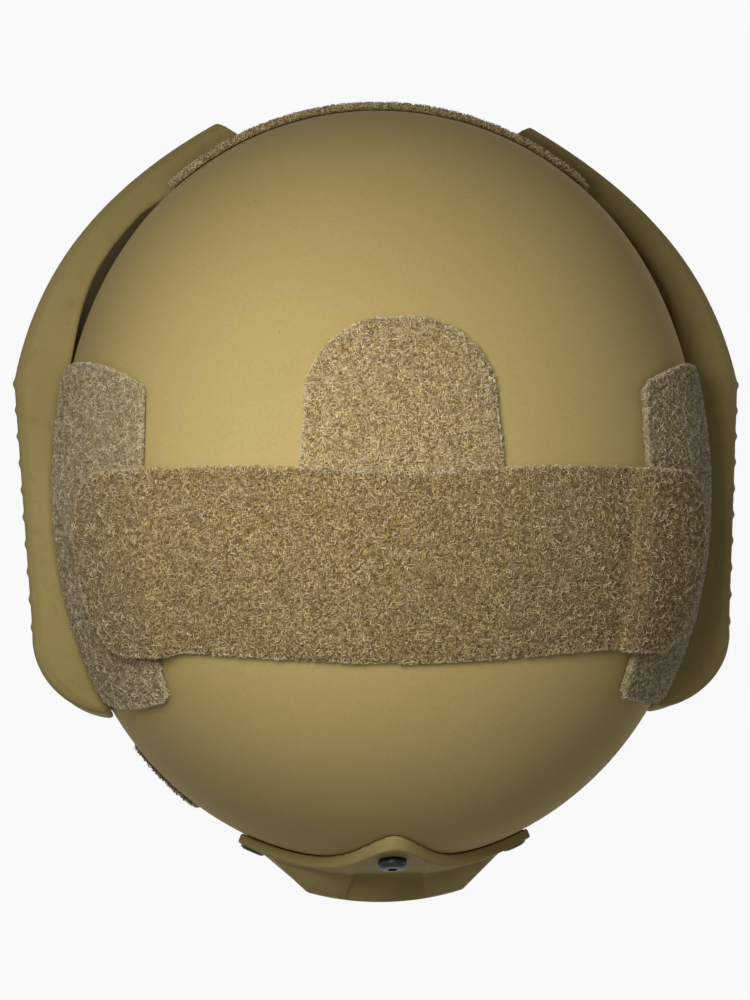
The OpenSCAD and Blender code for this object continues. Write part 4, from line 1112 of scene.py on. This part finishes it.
def webStrap(name, node, route, mirrored=False, sewn=(), body="helmet"):
    # sewn: distances of the seams from the start, or from the end where negative
    w = webShape
    width, half, rounding = w["width"], w["thick"] / 2, w["rounding"]
    flip = np.array([-1, 1, 1]) if mirrored else np.ones(3)
    up = np.array([0, 0, 1.0])
    route = smoothRoute(route)
    run = np.gradient(route, axis=0)
    plan = np.linalg.norm(run[:, :2], axis=1, keepdims=True)
    slope = np.linalg.norm(run, axis=1, keepdims=True) / plan
    side = np.concatenate([-run[:, 1:2], run[:, :1], 0 * plan], 1) / plan
    section = rounded([[-half, 0], [half, 0], [half, width], [-half, width]], rounding)
    extra = np.linspace(rounding, width - rounding, 12)[1:-1]
    section = np.concatenate([section[:8], [[half, e] for e in extra],
                              section[8:], [[-half, e] for e in extra[::-1]]])
    rings = (route[:, None] + side[:, None] * section[None, :, :1]
             + up * (section[None, :, 1:] * slope[:, None]))
    along = lengths(route)
    weave = weaveOf(along[:, None], section[None, :, 1])
    piece = sweep(name, rings * flip, attributes=dict(weave=weave))
    rows = []
    for place in sewn:
        k = int(np.abs(along - (place if place >= 0 else along[-1] + place)).argmin())
        y = np.linspace(1.5, width - 1.5, 9)[:, None]
        for face in (1, -1):
            out = np.broadcast_to(side[k] * face, (9, 3))
            rows.append(((route[k] + out * half + up * y * slope[k]) * flip, out * flip))
    if rows:
        stitches(name + "Stitches", rows)
    return dress(piece, "web", body, [node])


# Anchor tabs: doubled webbing under each rail bolt. Straps start on their inner face.
anchorShape = dict(above=8, long=24, outer=-8.6, inner=-10.2, strap=-11.4, half=11)
# the straps lie against the junction plate's faces
beside = 1.5 + webShape["play"] + webShape["thick"] / 2


def cupBend():
    w = webShape
    t = np.arange(0, 91, 7.5)
    bend = [[w["x"] - w["arcRadius"] * (1 - cosD(q)), w["arcY"] - w["arcRadius"] * sinD(q),
             w["z"]] for q in t]
    return bend + [[w["cupHalf"] + w["play"], w["arcY"] - w["arcRadius"], w["z"]]]


def harnessRoute(bolt, drop, inwards, behind):
    # from the lower end of an anchor tab to the junction plate
    s, w = anchorShape, webShape
    x, y = atHeight(bolt[0], bolt[1], s["strap"])[:2]
    top = np.array([x, y, bolt[1] + s["above"] - s["long"] - w["width"] * drop - 0.6])
    foot = np.array([w["x"] + inwards, w["junctionY"] + behind, w["z"]])
    return [top + t * (foot - top) for t in (0, 0.33, 0.67, 1)]


def buildHarness():
    w = webShape
    sewn = (3, 6, -4, -8, -12)
    front = harnessRoute(railBolts[0], 1.04, beside + 0.5, 6)
    rear = harnessRoute(railBolts[1], 1.1, -beside - 0.3, 10)
    for word in ("Left", "Right"):
        for place, route in (("front", front), ("rear", rear)):
            webStrap(place + "Strap" + word, place + "_strap_" + word.lower(), route,
                     word == "Right", sewn)
    start = w["junctionY"] - w["play"]
    end = w["buckleY"] + w["buckleLong"] + w["play"]
    short = [[w["x"], start + t * (end - start), w["z"]] for t in (0, 0.5, 1)]
    long = [[w["x"], start, w["z"]]] + cupBend()
    webStrap("chinStrapLeft", "chin_strap_left", short, False, (4, 8))
    webStrap("chinStrapRight", "chin_strap_right", long, True, (4, 8, -4, -8))
    tail = [[w["x"], w["buckleY"] - w["maleLong"] - 0.55, w["z"]]] + cupBend()
    tail = webStrap("buckleStrap", "buckle_strap", tail, body=None)
    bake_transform(tail)


def buildTabs():
    s = anchorShape
    half = s["half"] / meanRadius * 180 / math.pi
    u = np.linspace(-half, half, 25)[None, :]
    down = s["long"] * np.linspace(0, 1, 29)[:, None]
    weave = weaveOf(down, (u / half + 1) * s["half"])
    for sign, word in ((1, "Left"), (-1, "Right")):
        scale = np.array([sign, 1, 1])
        for place, (b, z) in zip(("Front", "Rear"), [bolt[:2] for bolt in railBolts]):
            outer, inner = [atHeight(b + u, z + s["above"] - down, s[face]) * scale
                            for face in ("outer", "inner")]
            name = "anchorTab" + word + place
            piece = skin(name, outer, inner, dict(weave=np.concatenate([weave, weave])))
            dress(piece, "web", "helmet", ["anchor_tabs"])
            inwards = -onShell(b, z)[1] * scale
            rows = [inner[2:27, j] for j in (2, 22)] + [inner[i, 3:22] for i in (20, 26)]
            rows = [(row, np.broadcast_to(inwards, row.shape)) for row in rows]
            stitches(name + "Stitches", rows)


buildHarness()
buildTabs()
print("straps made")


# Chin cup: a leather outer with a padded lining.
cupShape = dict(width=66.0, y=-81.0, wall=2.5, z=18.5, tall=16, curve=5, lip=3, bevel=0.9,
                seam=(0.86, 0.8), lining=2.8, padding=6)


def cupPoint(u, v, off):
    c = cupShape
    q, w = roundMap(u, v, 0.3)
    y = c["y"] - c["wall"] / 2 - c["curve"] * (1 - u * u) + c["lip"] * v * v + off
    return np.stack(floats(c["width"] / 2 * q, y, c["z"] + c["tall"] * w), -1)


def buildCup():
    c = cupShape
    u, v = spread(81, 41)
    bevel = c["bevel"] * padEdge(u, v) ** 6
    piece = skin("chinCup", cupPoint(u, v, bevel), cupPoint(u, v, c["wall"] - bevel))
    dress(piece, "leather", "helmet", ["chin_cup"])
    turn = np.linspace(0, 2 * math.pi, 161)
    square = np.maximum(np.abs(np.cos(turn)), np.abs(np.sin(turn))) ** 0.8
    seam = cupPoint(c["seam"][0] * np.cos(turn) / square, c["seam"][1] * np.sin(turn) / square, 0)
    stitches("cupStitches", [(seam, np.broadcast_to(np.array([0.0, -1, 0]), seam.shape))])
    u, v = spread(25, 17)
    puff = c["lining"] + c["padding"] * (1 - 0.5 * padEdge(u, v))
    u, v = 0.9 * u, 0.9 * v
    lining = skin("chinCupPad", cupPoint(u, v, c["lining"]), cupPoint(u, v, puff))
    lining.modifiers.new("round", "SUBSURF").levels = 1
    applyModifiers(lining)
    dress(lining, "pad", "helmet", ["chin_cup_pad"])


buildCup()


# Nape pad on the cradle, with two channels sewn down across it.
napeShape = dict(radius=85, back=98, half=31, z=30, tall=16, gap=0.3, thick=7, channel=0.35,
                 narrow=0.05)


def buildNapePad():
    s = napeShape
    u, v = spread(81, 25)
    q, w = roundMap(u, v, 0.1)

    def point(off):
        r = s["radius"] - off
        y = s["back"] - s["radius"] + r * cosD(s["half"] * q)
        return np.stack(floats(r * sinD(s["half"] * q), y, s["z"] + s["tall"] * w), -1)

    off = np.minimum(np.abs(u - s["channel"]), np.abs(u + s["channel"])) / s["narrow"]
    puff = s["thick"] * (1 - 0.5 * padEdge(u, v)) * (1 - 0.5 * np.exp(-off ** 2))
    piece = skin("napePad", point(s["gap"]), point(s["gap"] + puff))
    dress(piece, "pad", "nape", ["nape_pad"])


buildNapePad()


# Laces of the fit adjuster, from its housing to the eyelets in the shell.
laceShape = dict(radius=0.88, start=(9, 104), eyelet=158, inside=-12.3, bend=(0.3, 0.85))


def buildLace(sign, name, node, z):
    s = laceShape
    x, y = s["start"]
    end = atHeight(s["eyelet"], z, s["inside"])
    t = np.linspace(0, 1, 41)
    route = np.stack(floats(x + (end[0] - x) * t, y + (end[1] - y) * wave(*s["bend"], t), z), -1)
    rings = tube(route, np.array([0, 0, 1.0]), np.array([0, 1.0, 0]), s["radius"], 10)
    scale = np.array([sign, 1, 1])
    weave = weaveOf(route[:, None, 0], (np.arange(10) * 2 * np.pi / 10)[None])
    piece = sweep(name, rings * scale, attributes=dict(weave=weave))
    dress(piece, "lace", None, [node])
    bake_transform(piece)


buildLace(1, "laceLeft", "lace_left", 38)
buildLace(-1, "laceRight", "lace_right", 22)
print("soft goods made")


# Small fittings keep their solids and get rounded edges and a finish.
fittings = {("steel", 0.25): "shroud_screws rail_screws", ("steel", 0.2): "shroud_nuts rail_nuts",
            ("hook", 0.15): "loop_discs", ("plastic", 0.2): "dial_spindle",
            ("plastic", 0.3): "nape_hangers lace_eyelets",
            ("plastic", 0.35): "adjuster_left adjuster_right",
            ("plastic", 0.4): "buckle_male nape_cradle",
            ("plastic", 0.5): "junction_left junction_right buckle_female dial_housing dial_knob"}
for finish, edge, node in [key + (node,) for key, group in fittings.items() for node in group.split()]:
    piece = nodes[node]
    piece.modifiers.new("weld", "WELD").merge_threshold = 0.00001
    bevel = piece.modifiers.new("edge", "BEVEL")
    bevel.width = edge / 1000
    bevel.segments = 2
    bevel.limit_method = "ANGLE"
    bevel.angle_limit = math.radians(40)
    bevel.harden_normals = True
    piece.data.materials.clear()
    piece.data.materials.append(paints[finish].material)
print("fittings finished")


# Pale floor and surroundings that show white and keep the object's shadow.
stageShape = dict(half=3000, under=-0.5, grey=0.4, seen=0.94, sky=0.06)


def buildStage():
    s = stageShape
    white = (1, 1, 1, 1)
    corners = [[x * s["half"], y * s["half"], s["under"]]
               for x, y in ((-1, -1), (1, -1), (1, 1), (-1, 1))]
    floor = meshFrom("floor", corners, [np.array([[0, 1, 2, 3]])])
    p = Paint("paleFloor", Roughness=0.9, Base_Color=(s["grey"], s["grey"], s["grey"], 1))
    glow = p.node("ShaderNodeEmission", None, {"Color": white, "Strength": 1.0})
    both = p.node("ShaderNodeMixShader", None,
                  {0: p.seen() * s["seen"], 1: Wire(p, p.shader.outputs[0]), 2: glow})
    p.tree.links.new(both.socket, p.tree.nodes["Material Output"].inputs["Surface"])
    floor.data.materials.append(p.material)
    world = scene.world or bpy.data.worlds.new("studio")
    scene.world = world
    world.use_nodes = True
    sky = Tree(world.node_tree)
    light = sky.tree.nodes["Background"]
    light.inputs["Color"].default_value = white
    light.inputs["Strength"].default_value = s["sky"]
    plain = sky.node("ShaderNodeBackground", None, {"Color": white, "Strength": 1.0})
    both = sky.node("ShaderNodeMixShader", None,
                    {0: sky.seen(), 1: Wire(sky, light.outputs[0]), 2: plain})
    sky.tree.links.new(both.socket, sky.tree.nodes["World Output"].inputs["Surface"])


def addLamp(name, spot, target, size, watts):
    lamp = bpy.data.lights.new(name, "AREA")
    lamp.size = size
    lamp.energy = watts
    made = bpy.data.objects.new(name, lamp)
    scene.collection.objects.link(made)
    made.location = spot
    made.visible_camera = False
    made.rotation_euler = (Vector(target) - Vector(spot)).to_track_quat("-Z", "Y").to_euler()


buildStage()
addLamp("keyLamp", (-0.07, -0.02, 0.37), (-0.02, 0, 0.12), 0.1, 0.49)
addLamp("frontLamp", (0.0, -0.36, 0.62), (0, -0.12, 0.07), 0.25, 0.25)
# low, broad lamps round the object lift its sides
for label, spot, watts in (("left", (-1.0, 0.0, 0.2), 0.9), ("right", (1.0, 0.1, 0.2), 0.6),
                           ("rear", (0.0, 1.1, 0.2), 0.45), ("low", (0.0, -1.1, 0.15), 0.45)):
    addLamp(label + "Lamp", spot, (0, 0, 0.08), 0.5, watts)
print("stage lit")
